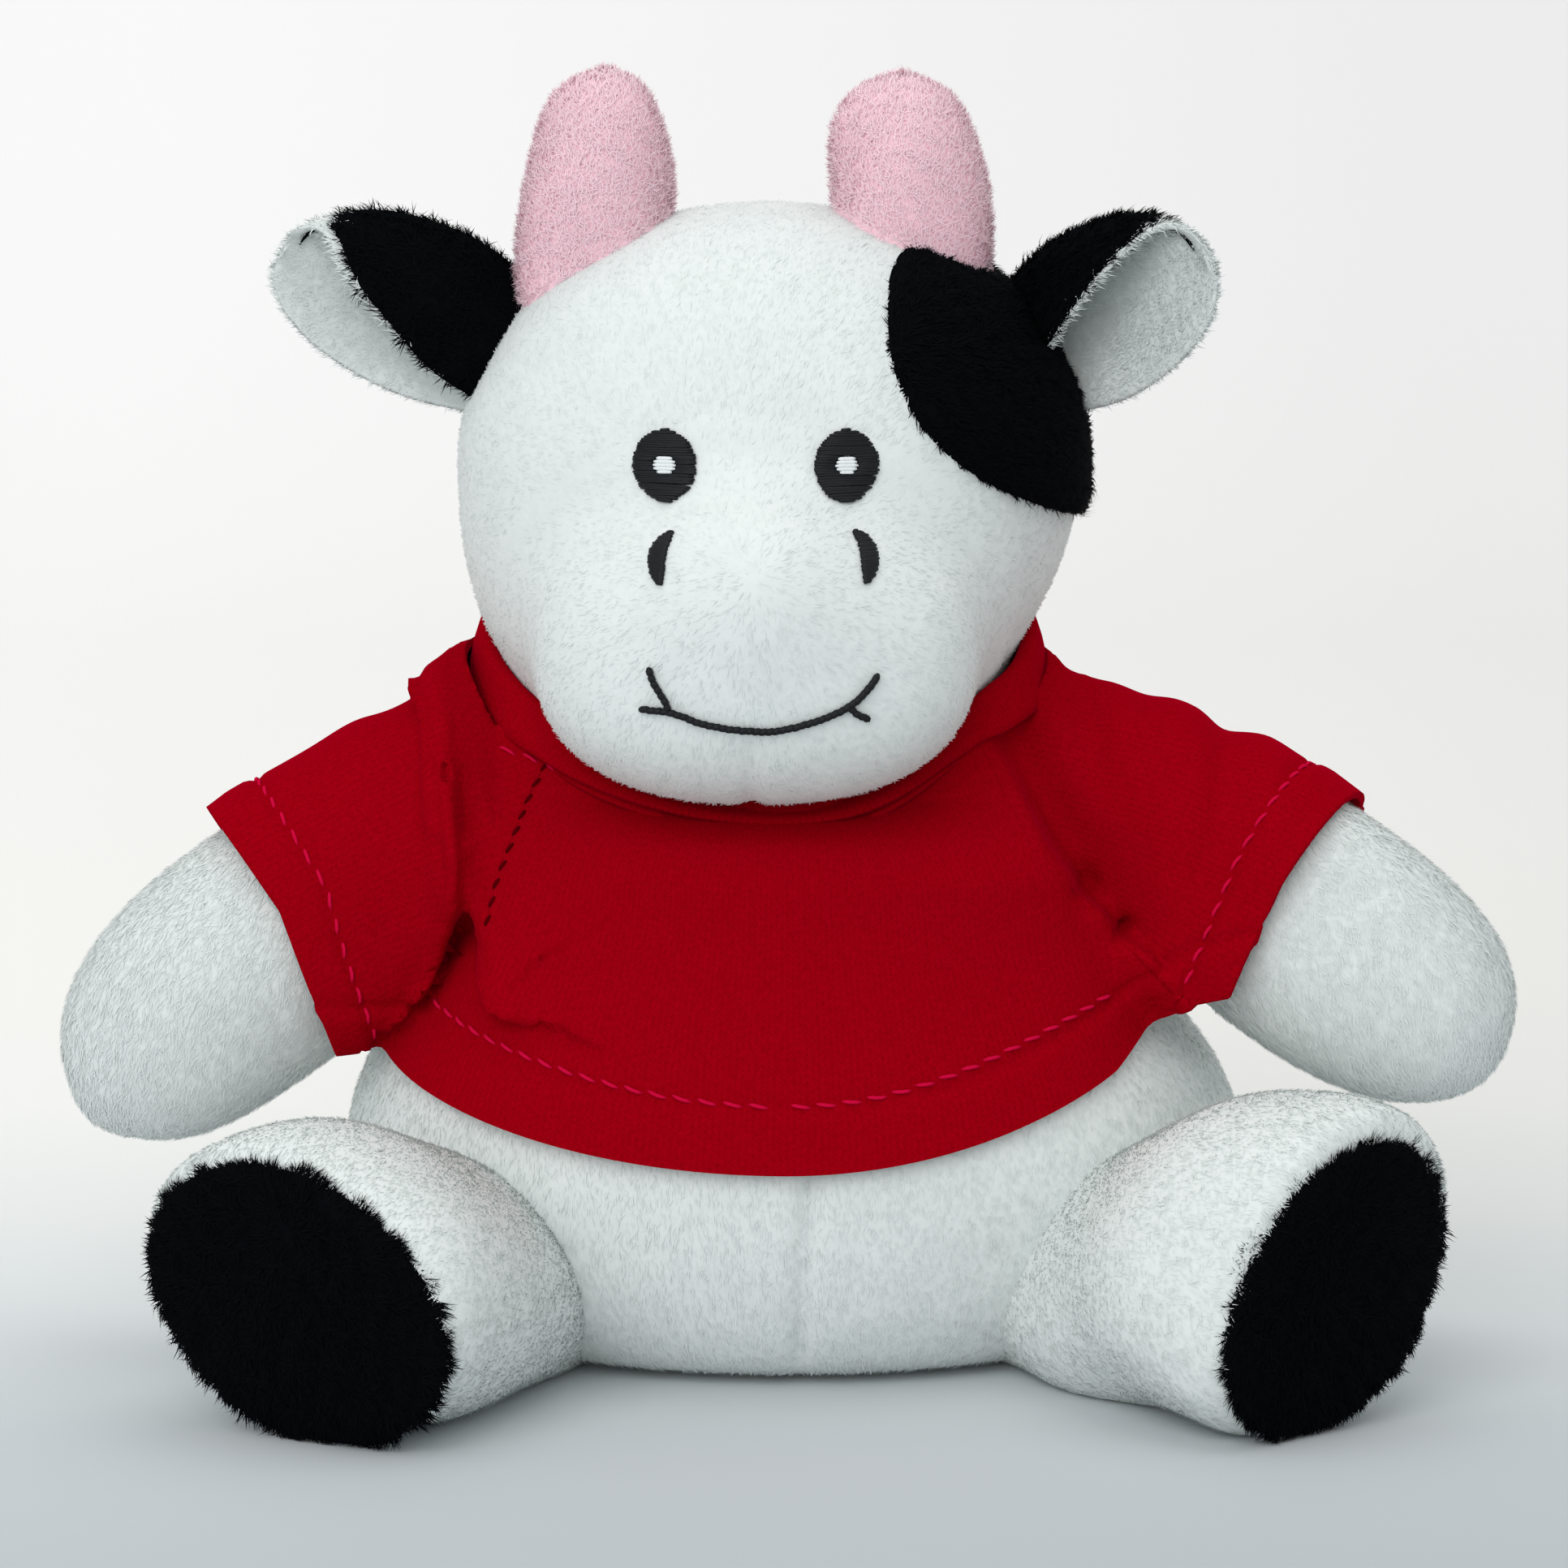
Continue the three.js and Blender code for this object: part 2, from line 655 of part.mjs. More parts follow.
// The rolled binding: a closed tube along the neckline
function collarForm(margin) {
  const count = 32;
  const middle = (turn) => {
    let point = new THREE.Vector3(0, 0, sideCollar);
    for (let i = 0; i < 6; i++) {
      const row = rowAt(shirtRows, point.z);
      const y = BODY_Y + (row.z + SHIRT_EASE + JERSEY / 2) * Math.sin(turn);
      const x = shirtMiddle(point.z) + (row.y + SHIRT_EASE + JERSEY / 2) * Math.cos(turn);
      point = new THREE.Vector3(x, y, necklineAt(0.5 + (y - BODY_Y) / (2 * collarReach)));
    }
    return point;
  };
  const points = [];
  const faces = [];
  const around = 6;
  for (let k = 0; k < count; k++) {
    const turn = (2 * Math.PI * k) / count;
    const point = middle(turn);
    const along = middle(turn + 0.01).sub(point).normalize();
    const out = along.clone().cross(UP).normalize();
    const up = out.clone().cross(along);
    for (let i = 0; i < around; i++) {
      const angle = (2 * Math.PI * i) / around;
      const radius = COLLAR_ROLL / 2 + margin;
      points.push(
        point
          .clone()
          .addScaledVector(out, radius * Math.cos(angle))
          .addScaledVector(up, radius * Math.sin(angle)),
      );
      const next = ((k + 1) % count) * around;
      const side = (i + 1) % around;
      faces.push(k * around + i, k * around + side, next + side, k * around + i, next + side, next + i);
    }
  }
  return facedOut(points, faces);
}

// Body: the cover with its stuffing and the pouch of pellets in the seat

const shirtSkirt = shirtBody(SHIRT_EASE + JERSEY + GAP)
  .intersect(overHem(GAP))
  .subtract(block(new THREE.Vector3(-FAR, -FAR, ARMPIT_Z + GAP), new THREE.Vector3(FAR, FAR, FAR)));

function ball(centre, radius, detail) {
  return ellipsoid(centre, 2 * radius, 2 * radius, 2 * radius, 0, detail);
}

const tailPivot = new THREE.Vector3(BODY_X, BODY_Y + rowAt(bodyRows, TAIL_Z).z - TAIL_WIDTH / 4, TAIL_Z);
let sockets = headRoom.add(ball(tailPivot, TAIL_WIDTH / 2 + GAP + 0.5, 12));
for (const { way } of sides) {
  sockets = sockets.add(ball(shoulder(way), SHOULDER_BALL + 2 * GAP, 14)).add(ball(hip(way), HIP_BALL + 2 * GAP, 14));
}

const pouchMiddle = new THREE.Vector3(BODY_X, BODY_Y + 8, PLUSH + POUCH_HEIGHT / 2 - BASE_CUT);
function pouchForm(margin) {
  return ellipsoid(pouchMiddle, POUCH_WIDTH, POUCH_DEPTH, POUCH_HEIGHT, margin, 20);
}

const bodyHollow = bodyForm(-PLUSH, 18, 9);
const neckFloor = block(
  new THREE.Vector3(-FAR, -FAR, headMiddle.z - HEAD_HEIGHT / 2 - 2 * GAP),
  new THREE.Vector3(FAR, FAR, FAR),
);
const bodyFilling = bodyForm(-PLUSH - GAP, 18, 9).subtract(sockets.add(neckFloor));
add("body_cover", bodyForm(0).subtract(bodyHollow).subtract(sockets).subtract(floorBlock), WHITE_PLUSH);
add("body_stuffing", bodyFilling.subtract(pouchForm(GAP)), FIBRE);
add("pellet_pouch", pouchForm(0).intersect(bodyFilling), PELLET_CLOTH);

// Head: the cover, open at the neck, with its stuffing, and the muzzle sewn on in front

const neckOpening = new THREE.CylinderGeometry(NECK_OPENING / 2, NECK_OPENING / 2, HEAD_HEIGHT / 2, 24);
neckOpening.rotateX(Math.PI / 2);
neckOpening.translate(headMiddle.x, headMiddle.y, headMiddle.z - HEAD_HEIGHT / 2);
add("head_cover", headForm(0).subtract(headForm(-PLUSH, 20, 10)).subtract(solidOf(neckOpening)), WHITE_PLUSH);
add("head_stuffing", headForm(-PLUSH - GAP, 20, 10), FIBRE);
add("muzzle", muzzleForm(0).subtract(headForm(GAP)), WHITE_PLUSH);

// The black patch runs from the horn over the brow to the side of the head. Its edge is given in shares
// of the way from its inner edge to the head's side, and of its height.
const PATCH_EDGE = [
  [0.15, 1],
  [0.04, 0.88],
  [0.01, 0.66],
  [0.08, 0.475],
  [0.23, 0.31],
  [0.5, 0.16],
  [0.77, 0.07],
  [1, 0],
];

function patchPrism(margin) {
  const inner = FACE_X + PATCH_INSET;
  const side = HEAD_X + HEAD_WIDTH / 2;
  const low = headMiddle.z - PATCH_DROP;
  const top = headMiddle.z + PATCH_TOP;
  const edge = new THREE.SplineCurve(
    PATCH_EDGE.map(
      ([out, up]) =>
        new THREE.Vector2(THREE.MathUtils.lerp(inner, side, out) - margin, THREE.MathUtils.lerp(low, top, up) - margin),
    ),
  )
    .getPoints(12)
    .map((point) => [point.x, point.y]);
  const outline = [[edge[0][0], top + margin], ...edge, [side + FAR, low - margin], [side + FAR, top + margin]];
  return prismAlongY(outline, -FAR, headMiddle.y + PATCH_BACK + margin);
}

add("eye_patch", laidOn(headForm, patchPrism(0), PLUSH), BLACK_PLUSH);
const headAndPatch = headForm(GAP).add(headForm(PLUSH + 2 * GAP).intersect(patchPrism(GAP)));

// Embroidery on the face

function faceForm(margin) {
  return headForm(margin).add(muzzleForm(margin));
}

function onFace(outline, hole) {
  const prism = prismAlongY(outline, -FAR, headMiddle.y);
  return hole ? prism.subtract(prismAlongY(hole, -FAR, headMiddle.y)) : prism;
}

for (const { side, way } of sides) {
  const x = FACE_X + (way * EYE_SPACING) / 2;
  const z = headMiddle.z + EYE_RISE;
  const rim = oval(x, z, EYE_WIDTH, EYE_HEIGHT, 22);
  const hole = oval(x, z, GLINT_WIDTH + 2 * GAP, GLINT_HEIGHT + 2 * GAP, 12);
  add("eye_" + side, laidOn(faceForm, onFace(rim, hole), THREAD), BLACK_THREAD);
  const glint = oval(x, z, GLINT_WIDTH, GLINT_HEIGHT, 12);
  add("eye_glint_" + side, laidOn(faceForm, onFace(glint), THREAD), WHITE_THREAD);
}

// A nostril is a crescent whose hollow side faces the middle of the nose.
for (const { side, way } of sides) {
  const x = FACE_X + (way * NOSTRIL_SPACING) / 2;
  const z = headMiddle.z - NOSTRIL_DROP;
  const outline = [];
  const count = 8;
  for (let i = 0; i <= count; i++) {
    const turn = -Math.PI / 2 + (Math.PI * i) / count;
    outline.push([x + way * NOSTRIL_WIDTH * Math.cos(turn), z + (NOSTRIL_HEIGHT / 2) * Math.sin(turn)]);
  }
  for (let i = count - 1; i > 0; i--) {
    const turn = -Math.PI / 2 + (Math.PI * i) / count;
    outline.push([x + way * NOSTRIL_WIDTH * 0.2 * Math.cos(turn), z + (NOSTRIL_HEIGHT / 2) * Math.sin(turn)]);
  }
  add("nostril_" + side, laidOn(faceForm, onFace(outline), THREAD), BLACK_THREAD);
}

// A strip of thread along a line of [x, z] points
function threadAlong(points) {
  const line = new THREE.SplineCurve(points.map(([x, z]) => new THREE.Vector2(x, z)));
  const count = 5 * points.length;
  const edges = [1, -1].map((edge) =>
    Array.from({ length: count + 1 }, (_, i) => {
      const point = line.getPoint(i / count);
      const way = line.getTangent(i / count);
      return [point.x - (edge * way.y * MOUTH_LINE) / 2, point.y + (edge * way.x * MOUTH_LINE) / 2];
    }),
  );
  return onFace([...edges[0], ...edges[1].reverse()]);
}

const mouthLow = headMiddle.z - MOUTH_DROP;
const mouthEnd = MOUTH_WIDTH / 2;
let mouthThread = threadAlong([
  [FACE_X - mouthEnd, mouthLow + MOUTH_RISE * 0.75],
  [FACE_X - mouthEnd * 0.55, mouthLow + MOUTH_RISE * 0.25],
  [FACE_X, mouthLow],
  [FACE_X + mouthEnd * 0.6, mouthLow + MOUTH_RISE * 0.7],
  [FACE_X + mouthEnd, mouthLow + MOUTH_RISE * 1.9],
]);
mouthThread = mouthThread.add(
  threadAlong([
    [FACE_X - mouthEnd * 0.95, mouthLow + MOUTH_RISE * 2.3],
    [FACE_X - mouthEnd * 0.75, mouthLow + MOUTH_RISE * 0.45],
  ]),
);
mouthThread = mouthThread.add(
  threadAlong([
    [FACE_X + mouthEnd * 0.68, mouthLow + MOUTH_RISE * 1.1],
    [FACE_X + mouthEnd * 0.93, mouthLow + MOUTH_RISE * 0.55],
  ]),
);
add("mouth", laidOn(faceForm, mouthThread, THREAD), BLACK_THREAD);

// Horns: stuffed fingers, sewn on at the front of the crown

const HORN_SHAPE = [
  [0, 0.86],
  [0.3, 1],
  [0.55, 0.95],
  [0.78, 0.78],
  [0.92, 0.5],
  [1, 0.05],
];

function hornForm(way) {
  const out = HORN_SPACING / 2;
  const crown = Math.sqrt(1 - (out / (HEAD_WIDTH / 2)) ** 2 - (HORN_Y / (HEAD_DEPTH / 2)) ** 2);
  const root = headMiddle.z + (crown * HEAD_HEIGHT) / 2 - HORN_SEAT;
  const rings = smooth(HORN_SHAPE.map(([up, wide]) => [up, wide, wide]), 8).map((row) =>
    ovalRing(
      new THREE.Vector3(
        FACE_X + way * (out - HORN_LEAN * row.x ** 2),
        headMiddle.y + HORN_Y,
        root + row.x * (HORN_SEAT + HORN_HEIGHT),
      ),
      new THREE.Vector3((row.y * HORN_WIDTH) / 2, 0, 0),
      new THREE.Vector3(0, (row.z * HORN_DEPTH) / 2, 0),
      14,
    ),
  );
  return skinOver(rings);
}

for (const { side, way } of sides) {
  add("horn_" + side, hornForm(way).subtract(headAndPatch), PINK_PLUSH);
}

// Ears: a black back and a white lining, folded together lengthwise, open to the front and down

// Shares of the ear's length, width and fold
const EAR_SHAPE = [
  [-0.2, 0.72, 0.8],
  [0, 0.88, 0.92],
  [0.25, 1, 1],
  [0.5, 0.98, 0.92],
  [0.75, 0.84, 0.72],
  [0.92, 0.6, 0.58],
  [1, 0.4, 0.5],
];

// Where the folded front edge lies, in degrees over level, from the root to the tip
const EAR_EDGE = { left: [-10, 12, 34, 62, 96], right: [-34, -16, 0, 40, 96] };

function earRoot(way) {
  const row = rowAt(headRows, headMiddle.z + EAR_RISE);
  return new THREE.Vector3(HEAD_X + way * row.y, headMiddle.y, headMiddle.z + EAR_RISE);
}

function earLayer(way, side, outerMargin, innerMargin) {
  const lift = radians(EAR_LIFT);
  const forward = radians(EAR_FORWARD[side]);
  const along = new THREE.Vector3(
    way * Math.cos(lift) * Math.cos(forward),
    -Math.cos(lift) * Math.sin(forward),
    Math.sin(lift),
  );
  const front = new THREE.Vector3(-way * Math.sin(forward), -Math.cos(forward), 0);
  const up = way > 0 ? front.clone().cross(along) : along.clone().cross(front);
  const edge = new THREE.SplineCurve(EAR_EDGE[side].map((angle, i) => new THREE.Vector2(i, angle)));
  const count = 9;
  const grid = (margin) =>
    smooth(EAR_SHAPE, 8).map((row) => {
      const middle = earRoot(way).addScaledVector(along, row.x * EAR_LENGTH);
      const foldEnd = edge.getPoint(THREE.MathUtils.clamp(row.x, 0, 1)).y;
      return Array.from({ length: count }, (_, i) => {
        const turn = radians(THREE.MathUtils.lerp(EAR_FOOT, foldEnd, i / (count - 1)));
        return middle
          .clone()
          .addScaledVector(front, ((row.z * EAR_FOLD) / 2 + margin) * Math.cos(turn))
          .addScaledVector(up, ((row.y * EAR_WIDTH) / 2 + margin) * Math.sin(turn));
      });
    });
  return sheetBetween(grid(outerMargin), grid(innerMargin));
}

for (const { side, way } of sides) {
  const axis = new THREE.Vector3(0, -way, 0);
  const room = passing(headAndPatch.add(hornForm(way)), earRoot(way), axis, -EAR_FLAP, EAR_FLAP, 2);
  add("ear_back_" + side, earLayer(way, side, 0, -EAR_CLOTH).subtract(room), BLACK_PLUSH);
  const inside = -EAR_CLOTH - GAP;
  add("ear_lining_" + side, earLayer(way, side, inside, inside - EAR_CLOTH).subtract(room), WHITE_PLUSH);
}

// Arms

for (const { side, way } of sides) {
  const pivot = shoulder(way);
  const axis = new THREE.Vector3(0, -way, 0);
  const room = passing(bodyForm(GAP).add(shirtSkirt), pivot, axis, -ARM_LOWER, ARM_RAISE, 2);
  const arm = armForm(way).subtract(room).add(ball(pivot, SHOULDER_BALL, 14));
  add("arm_" + side, arm, WHITE_PLUSH);
}

// Legs, each with a black sole sewn into its end

for (const { side, way } of sides) {
  const pivot = hip(way);
  const axis = new THREE.Vector3(0, 0, way);
  const room = passing(bodyForm(GAP).add(shirtSkirt), pivot, axis, 0, LEG_OPEN, 2);
  const leg = legForm(way).subtract(room).add(ball(pivot, HIP_BALL, 14)).subtract(floorBlock);
  add("leg_" + side, leg, WHITE_PLUSH);
  add("sole_" + side, soleForm(way), BLACK_PLUSH);
}

// Tail: a short cord of plush with a black tuft, curled round the seat

const tailLine = new THREE.CatmullRomCurve3([
  tailPivot,
  tailPivot.clone().add(new THREE.Vector3(0.1 * TAIL_LENGTH, 0.25 * TAIL_LENGTH, -0.12 * TAIL_LENGTH)),
  tailPivot.clone().add(new THREE.Vector3(0.5 * TAIL_LENGTH, 0.38 * TAIL_LENGTH, -0.36 * TAIL_LENGTH)),
  tailPivot.clone().add(new THREE.Vector3(0.95 * TAIL_LENGTH, 0.34 * TAIL_LENGTH, -0.52 * TAIL_LENGTH)),
]);

function tailRings(widths, from, to, count) {
  return Array.from({ length: widths.length }, (_, i) => {
    const share = from + ((to - from) * i) / (widths.length - 1);
    const inside = Math.min(share, 1);
    const direction = tailLine.getTangent(inside).normalize();
    const point = tailLine.getPoint(inside).addScaledVector(direction, (share - inside) * TAIL_LENGTH);
    const out = UP.clone().cross(direction).normalize();
    const up = direction.clone().cross(out);
    return ovalRing(point, out.multiplyScalar(widths[i] / 2), up.multiplyScalar(widths[i] / 2), count);
  });
}

const tailWidths = Array.from({ length: 8 }, (_, i) => TAIL_WIDTH * (i === 0 ? 0.7 : 1));
const tailRoom = passing(bodyForm(GAP), tailPivot, UP, -TAIL_SWING, TAIL_SWING, 2);
const tail = skinOver(tailRings(tailWidths, 0, 1, 10)).subtract(tailRoom);
add("tail", tail.add(ball(tailPivot, TAIL_WIDTH / 2 + 0.5, 12)), WHITE_PLUSH);
const tuftWidths = [0.55, 0.85, 1, 0.95, 0.7, 0.3].map((share) => share * TUFT_WIDTH);
const tuftStart = 1 + GAP / TAIL_LENGTH;
add("tail_tuft", skinOver(tailRings(tuftWidths, tuftStart, tuftStart + TUFT_LENGTH / TAIL_LENGTH, 10)), BLACK_PLUSH);

// T-shirt panels

const shirtOutside = shirtBody(SHIRT_EASE + JERSEY).add(sleeveForm(1, JERSEY, 0)).add(sleeveForm(-1, JERSEY, 0));
const shirtInside = shirtBody(SHIRT_EASE).add(sleeveForm(1, 0, 2)).add(sleeveForm(-1, 0, 2));
const shirtWall = shirtOutside
  .subtract(shirtInside)
  .intersect(underNeckline(0))
  .subtract(headRoom)
  .subtract(collarForm(GAP));
const shirtTube = shirtWall.subtract(sleeveSide(1, GAP)).subtract(sleeveSide(-1, GAP)).intersect(overHem(0));
const sideSeam = (from, to) => block(new THREE.Vector3(-FAR, from, -FAR), new THREE.Vector3(FAR, to, FAR));
add("shirt_front", shirtTube.intersect(sideSeam(-FAR, BODY_Y - GAP / 2)), RED_JERSEY);
add("shirt_back", shirtTube.intersect(sideSeam(BODY_Y + GAP / 2, FAR)), RED_JERSEY);
for (const { side, way } of sides) {
  add("shirt_sleeve_" + side, shirtWall.intersect(sleeveSide(way, 0)), RED_JERSEY);
}
add("shirt_collar", collarForm(0).subtract(headRoom), RED_JERSEY);

export default cow;
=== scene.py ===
import math

import bmesh
import bpy
import numpy as np
from mathutils.kdtree import KDTree
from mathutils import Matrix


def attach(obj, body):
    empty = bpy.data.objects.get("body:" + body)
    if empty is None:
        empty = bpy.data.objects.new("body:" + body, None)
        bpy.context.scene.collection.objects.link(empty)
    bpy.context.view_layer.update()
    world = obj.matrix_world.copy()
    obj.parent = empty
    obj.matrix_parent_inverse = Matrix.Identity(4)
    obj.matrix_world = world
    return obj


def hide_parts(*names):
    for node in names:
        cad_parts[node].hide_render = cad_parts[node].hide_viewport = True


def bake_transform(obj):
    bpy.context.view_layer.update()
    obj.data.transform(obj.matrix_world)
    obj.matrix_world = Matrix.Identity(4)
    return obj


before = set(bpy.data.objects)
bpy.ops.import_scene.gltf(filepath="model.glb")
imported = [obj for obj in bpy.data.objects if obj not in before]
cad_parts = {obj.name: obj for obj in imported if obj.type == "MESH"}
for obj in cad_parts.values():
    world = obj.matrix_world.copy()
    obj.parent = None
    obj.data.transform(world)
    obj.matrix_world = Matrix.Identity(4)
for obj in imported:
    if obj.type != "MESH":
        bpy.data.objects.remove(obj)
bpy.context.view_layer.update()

# View: the toy is seen from the front at a distance of 0.8 m and a little from above.
# The picture is square, and 184.5 mm of the toy's middle plane fill it.
VIEW_RISE = math.radians(8)
VIEW_DISTANCE = 0.8
VIEW_WIDTH = 0.1845
VIEW_AIM = (0.0, 0.0088, 0.065)
view = bpy.data.cameras.new("view")
view.sensor_width = 36
view.lens = 36 * VIEW_DISTANCE / VIEW_WIDTH
view.clip_start = 0.05
view_stand = bpy.data.objects.new("view", view)
view_stand.location = (
    VIEW_AIM[0],
    VIEW_AIM[1] - VIEW_DISTANCE * math.cos(VIEW_RISE),
    VIEW_AIM[2] + VIEW_DISTANCE * math.sin(VIEW_RISE),
)
view_stand.rotation_euler = (math.pi / 2 - VIEW_RISE, 0, 0)
bpy.context.scene.collection.objects.link(view_stand)
bpy.context.scene.camera = view_stand

# Body: a squat pear of short white plush over loose fibre, with a bag of pellets in the seat.
# It is sewn from panels that meet in a seam down the middle of the belly, and it sits flattened.
BODY_X = 0.6
BODY_Y = 8.8
BODY_ROWS = [  # height, half width, half depth, in millimetres
    (0.0, 33.9, 26.0), (2.2, 41.3, 33.2), (7.4, 47.2, 38.2), (15.2, 51.4, 41.2), (23.8, 53.0, 42.0),
    (32.5, 50.6, 40.3), (40.3, 45.8, 37.8), (49.0, 41.1, 34.4), (57.6, 36.2, 29.6), (65.4, 30.0, 23.5),
    (72.5, 24.0, 19.5), (78.0, 19.0, 17.0),
]
BODY_HALF_DEEP = 42.0
BODY_INSET = 0.35  # the backing lies a little inside, under the pile
BELLY_SEAM_X, BELLY_SEAM_LEAN, BELLY_SEAM_DEPTH = 1.8, 0.045, 1.3
HEM_FRONT, HEM_BACK = 27.0, 47.0  # how high the T-shirt's hem stands in front and at the back


def smooth_rows(rows, count):
    """Evenly spaced rows of a smooth run through the given ones."""
    rows = np.asarray(rows, float)
    last = len(rows) - 1
    place = np.linspace(0, last, count)
    k = np.clip(place.astype(int), 0, last - 1)
    t = (place - k)[:, None]
    before, start, end, after = (rows[np.clip(k + i, 0, last)] for i in (-1, 0, 1, 2))
    return 0.5 * (
        2 * start
        + (end - before) * t
        + (2 * before - 5 * start + 4 * end - after) * t**2
        + (3 * start - before - 3 * end + after) * t**3
    )


def unit(vectors, floor=0.0):
    """Rows of vectors brought to a length of one; the floor keeps an empty one from being divided by zero."""
    return vectors / (np.linalg.norm(vectors, axis=1, keepdims=True) + floor)


def sizes_at(rows, height):
    """Half width and half depth of an upright form at each height."""
    run = smooth_rows(rows, 200)
    return np.interp(height, run[:, 0], run[:, 1]), np.interp(height, run[:, 0], run[:, 2])


def oval_rings(middles, across, along, sides):
    """Rings of points round each middle, from a pair of half axes each."""
    turn = np.linspace(0, 2 * np.pi, sides, endpoint=False)
    return (
        middles[:, None, :]
        + across[:, None, :] * np.cos(turn)[None, :, None]
        + along[:, None, :] * np.sin(turn)[None, :, None]
    )


def level_rings(middles, rows, sides):
    """Level rings round each middle, from rows of a height, a half width and a half depth."""
    return oval_rings(middles, rows[:, 1, None] * (1, 0, 0), rows[:, 2, None] * (0, 1, 0), sides)


def ring_faces(count, sides):
    """Four-sided faces between rings, and the fans that close both ends onto one point each."""
    faces = []
    for k in range(count - 1):
        for i in range(sides):
            j = (i + 1) % sides
            faces.append((k * sides + i, k * sides + j, (k + 1) * sides + j, (k + 1) * sides + i))
    first, last, top = count * sides, count * sides + 1, (count - 1) * sides
    for i in range(sides):
        j = (i + 1) % sides
        faces.append((first, j, i))
        faces.append((last, top + i, top + j))
    return faces


def shown(name, mesh, finish):
    """An object that shows a mesh in a finish."""
    mesh.materials.append(finish)
    piece = bpy.data.objects.new(name, mesh)
    bpy.context.scene.collection.objects.link(piece)
    return piece


def piece_of(name, points, faces, finish):
    """A smooth-shaded mesh object from points in millimetres, faced outwards."""
    mesh = bpy.data.meshes.new(name)
    mesh.from_pydata((np.asarray(points) * 0.001).tolist(), [], faces)
    work = bmesh.new()
    work.from_mesh(mesh)
    bmesh.ops.recalc_face_normals(work, faces=work.faces[:])
    work.to_mesh(mesh)
    work.free()
    mesh.polygons.foreach_set("use_smooth", [True] * len(mesh.polygons))
    return shown(name, mesh, finish)


def skin_over(name, rings, finish):
    """A closed skin over rings of points."""
    count, sides = rings.shape[:2]
    points = np.concatenate([rings.reshape(-1, 3), [rings[0].mean(0)], [rings[-1].mean(0)]])
    return piece_of(name, points, ring_faces(count, sides), finish)


def lumps(points, size, height, seed):
    """A soft unevenness of hand-filled plush, as a height at each point."""
    draw = np.random.default_rng(seed)
    total = np.zeros(len(points))
    for _ in range(7):
        way = draw.normal(size=3)
        way /= np.linalg.norm(way) * size
        total += np.sin(points @ way * 2 * np.pi + draw.uniform(0, 6.28))
    return total * height / 2.6


def add_node(tree, kind, settings=None, **choices):
    """A shader node with its choices, such as an operation, and the settings of its inputs."""
    node = tree.nodes.new("ShaderNode" + kind)
    for choice, value in choices.items():
        setattr(node, choice, value)
    for socket, value in (settings or {}).items():
        node.inputs[socket].default_value = value
    return node


def worked_out(tree, operation, *values):
    """The outcome of a sum of numbers and of what other nodes put out."""
    node = add_node(tree, "Math", operation=operation)
    for socket, value in zip(node.inputs, values):
        if isinstance(value, float):
            socket.default_value = value
        else:
            tree.links.new(value, socket)
    return node.outputs[0]


def new_group(name, taken, given):
    """A group of nodes with its inputs, each with a value, and its outputs, by name."""
    group = bpy.data.node_groups.new(name, "ShaderNodeTree")
    for socket, value in taken.items():
        made = group.interface.new_socket(socket, in_out="INPUT", socket_type="NodeSocketFloat")
        made.default_value = value
    for socket in given:
        group.interface.new_socket(socket, in_out="OUTPUT", socket_type="NodeSocketFloat")
    return group, group.nodes.new("NodeGroupInput"), group.nodes.new("NodeGroupOutput")


def new_finish(name, settings):
    """A material, its tree of nodes and its shader, with the shader's settings."""
    finish = bpy.data.materials.new(name)
    finish.use_nodes = True
    shader = finish.node_tree.nodes["Principled BSDF"]
    for socket, value in settings.items():
        shader.inputs[socket].default_value = value
    return finish, finish.node_tree, shader


def lay_colours(tree, shader, mask, low, high, start=0.0, end=1.0):
    """Lets the colour run from one to another as the mask goes from start to end."""
    ramp = add_node(tree, "ValToRGB")
    for element, place, colour in zip(ramp.color_ramp.elements, (start, end), (low, high)):
        element.position = place
        element.color = (*colour, 1)
    tree.links.new(mask, ramp.inputs["Fac"])
    tree.links.new(ramp.outputs["Color"], shader.inputs["Base Color"])


def lay_relief(tree, shader, height, strength, distance):
    """Lets a height stand out from the surface."""
    relief = add_node(tree, "Bump", {"Strength": strength, "Distance": distance})
    tree.links.new(height, relief.inputs["Height"])
    tree.links.new(relief.outputs["Normal"], shader.inputs["Normal"])


def plush_streaks():
    """Group: the streaks that the lie of the pile leaves, as a mask and a height."""
    group, start, end = new_group("plush_streaks", {"Streak": 900}, ("Mask", "Height"))
    place = add_node(group, "TexCoord")
    broad = add_node(group, "TexNoise", {"Scale": 180, "Detail": 3})
    fine = add_node(group, "TexNoise", {"Detail": 4, "Distortion": 0.6})
    group.links.new(place.outputs["Object"], broad.inputs["Vector"])
    group.links.new(place.outputs["Object"], fine.inputs["Vector"])
    group.links.new(start.outputs["Streak"], fine.inputs["Scale"])
    part = worked_out(group, "MULTIPLY", fine.outputs["Fac"], 0.55)
    both = worked_out(group, "MULTIPLY_ADD", broad.outputs["Fac"], 0.45, part)
    group.links.new(both, end.inputs["Mask"])
    group.links.new(fine.outputs["Fac"], end.inputs["Height"])
    return group


STREAKS = plush_streaks()


def plush(name, low, high, sheen=0.1, shine=0.1):
    """A plush backing seen between its hairs, between two colours."""
    finish, tree, shader = new_finish(
        name,
        {"Roughness": 0.95, "Specular IOR Level": shine, "Sheen Weight": sheen, "Sheen Roughness": 0.6},
    )
    streaks = add_node(tree, "Group", {"Streak": 900}, node_tree=STREAKS)
    lay_colours(tree, shader, streaks.outputs["Mask"], low, high, 0.35, 0.65)
    lay_relief(tree, shader, streaks.outputs["Height"], 0.2, 0.0004)
    return finish


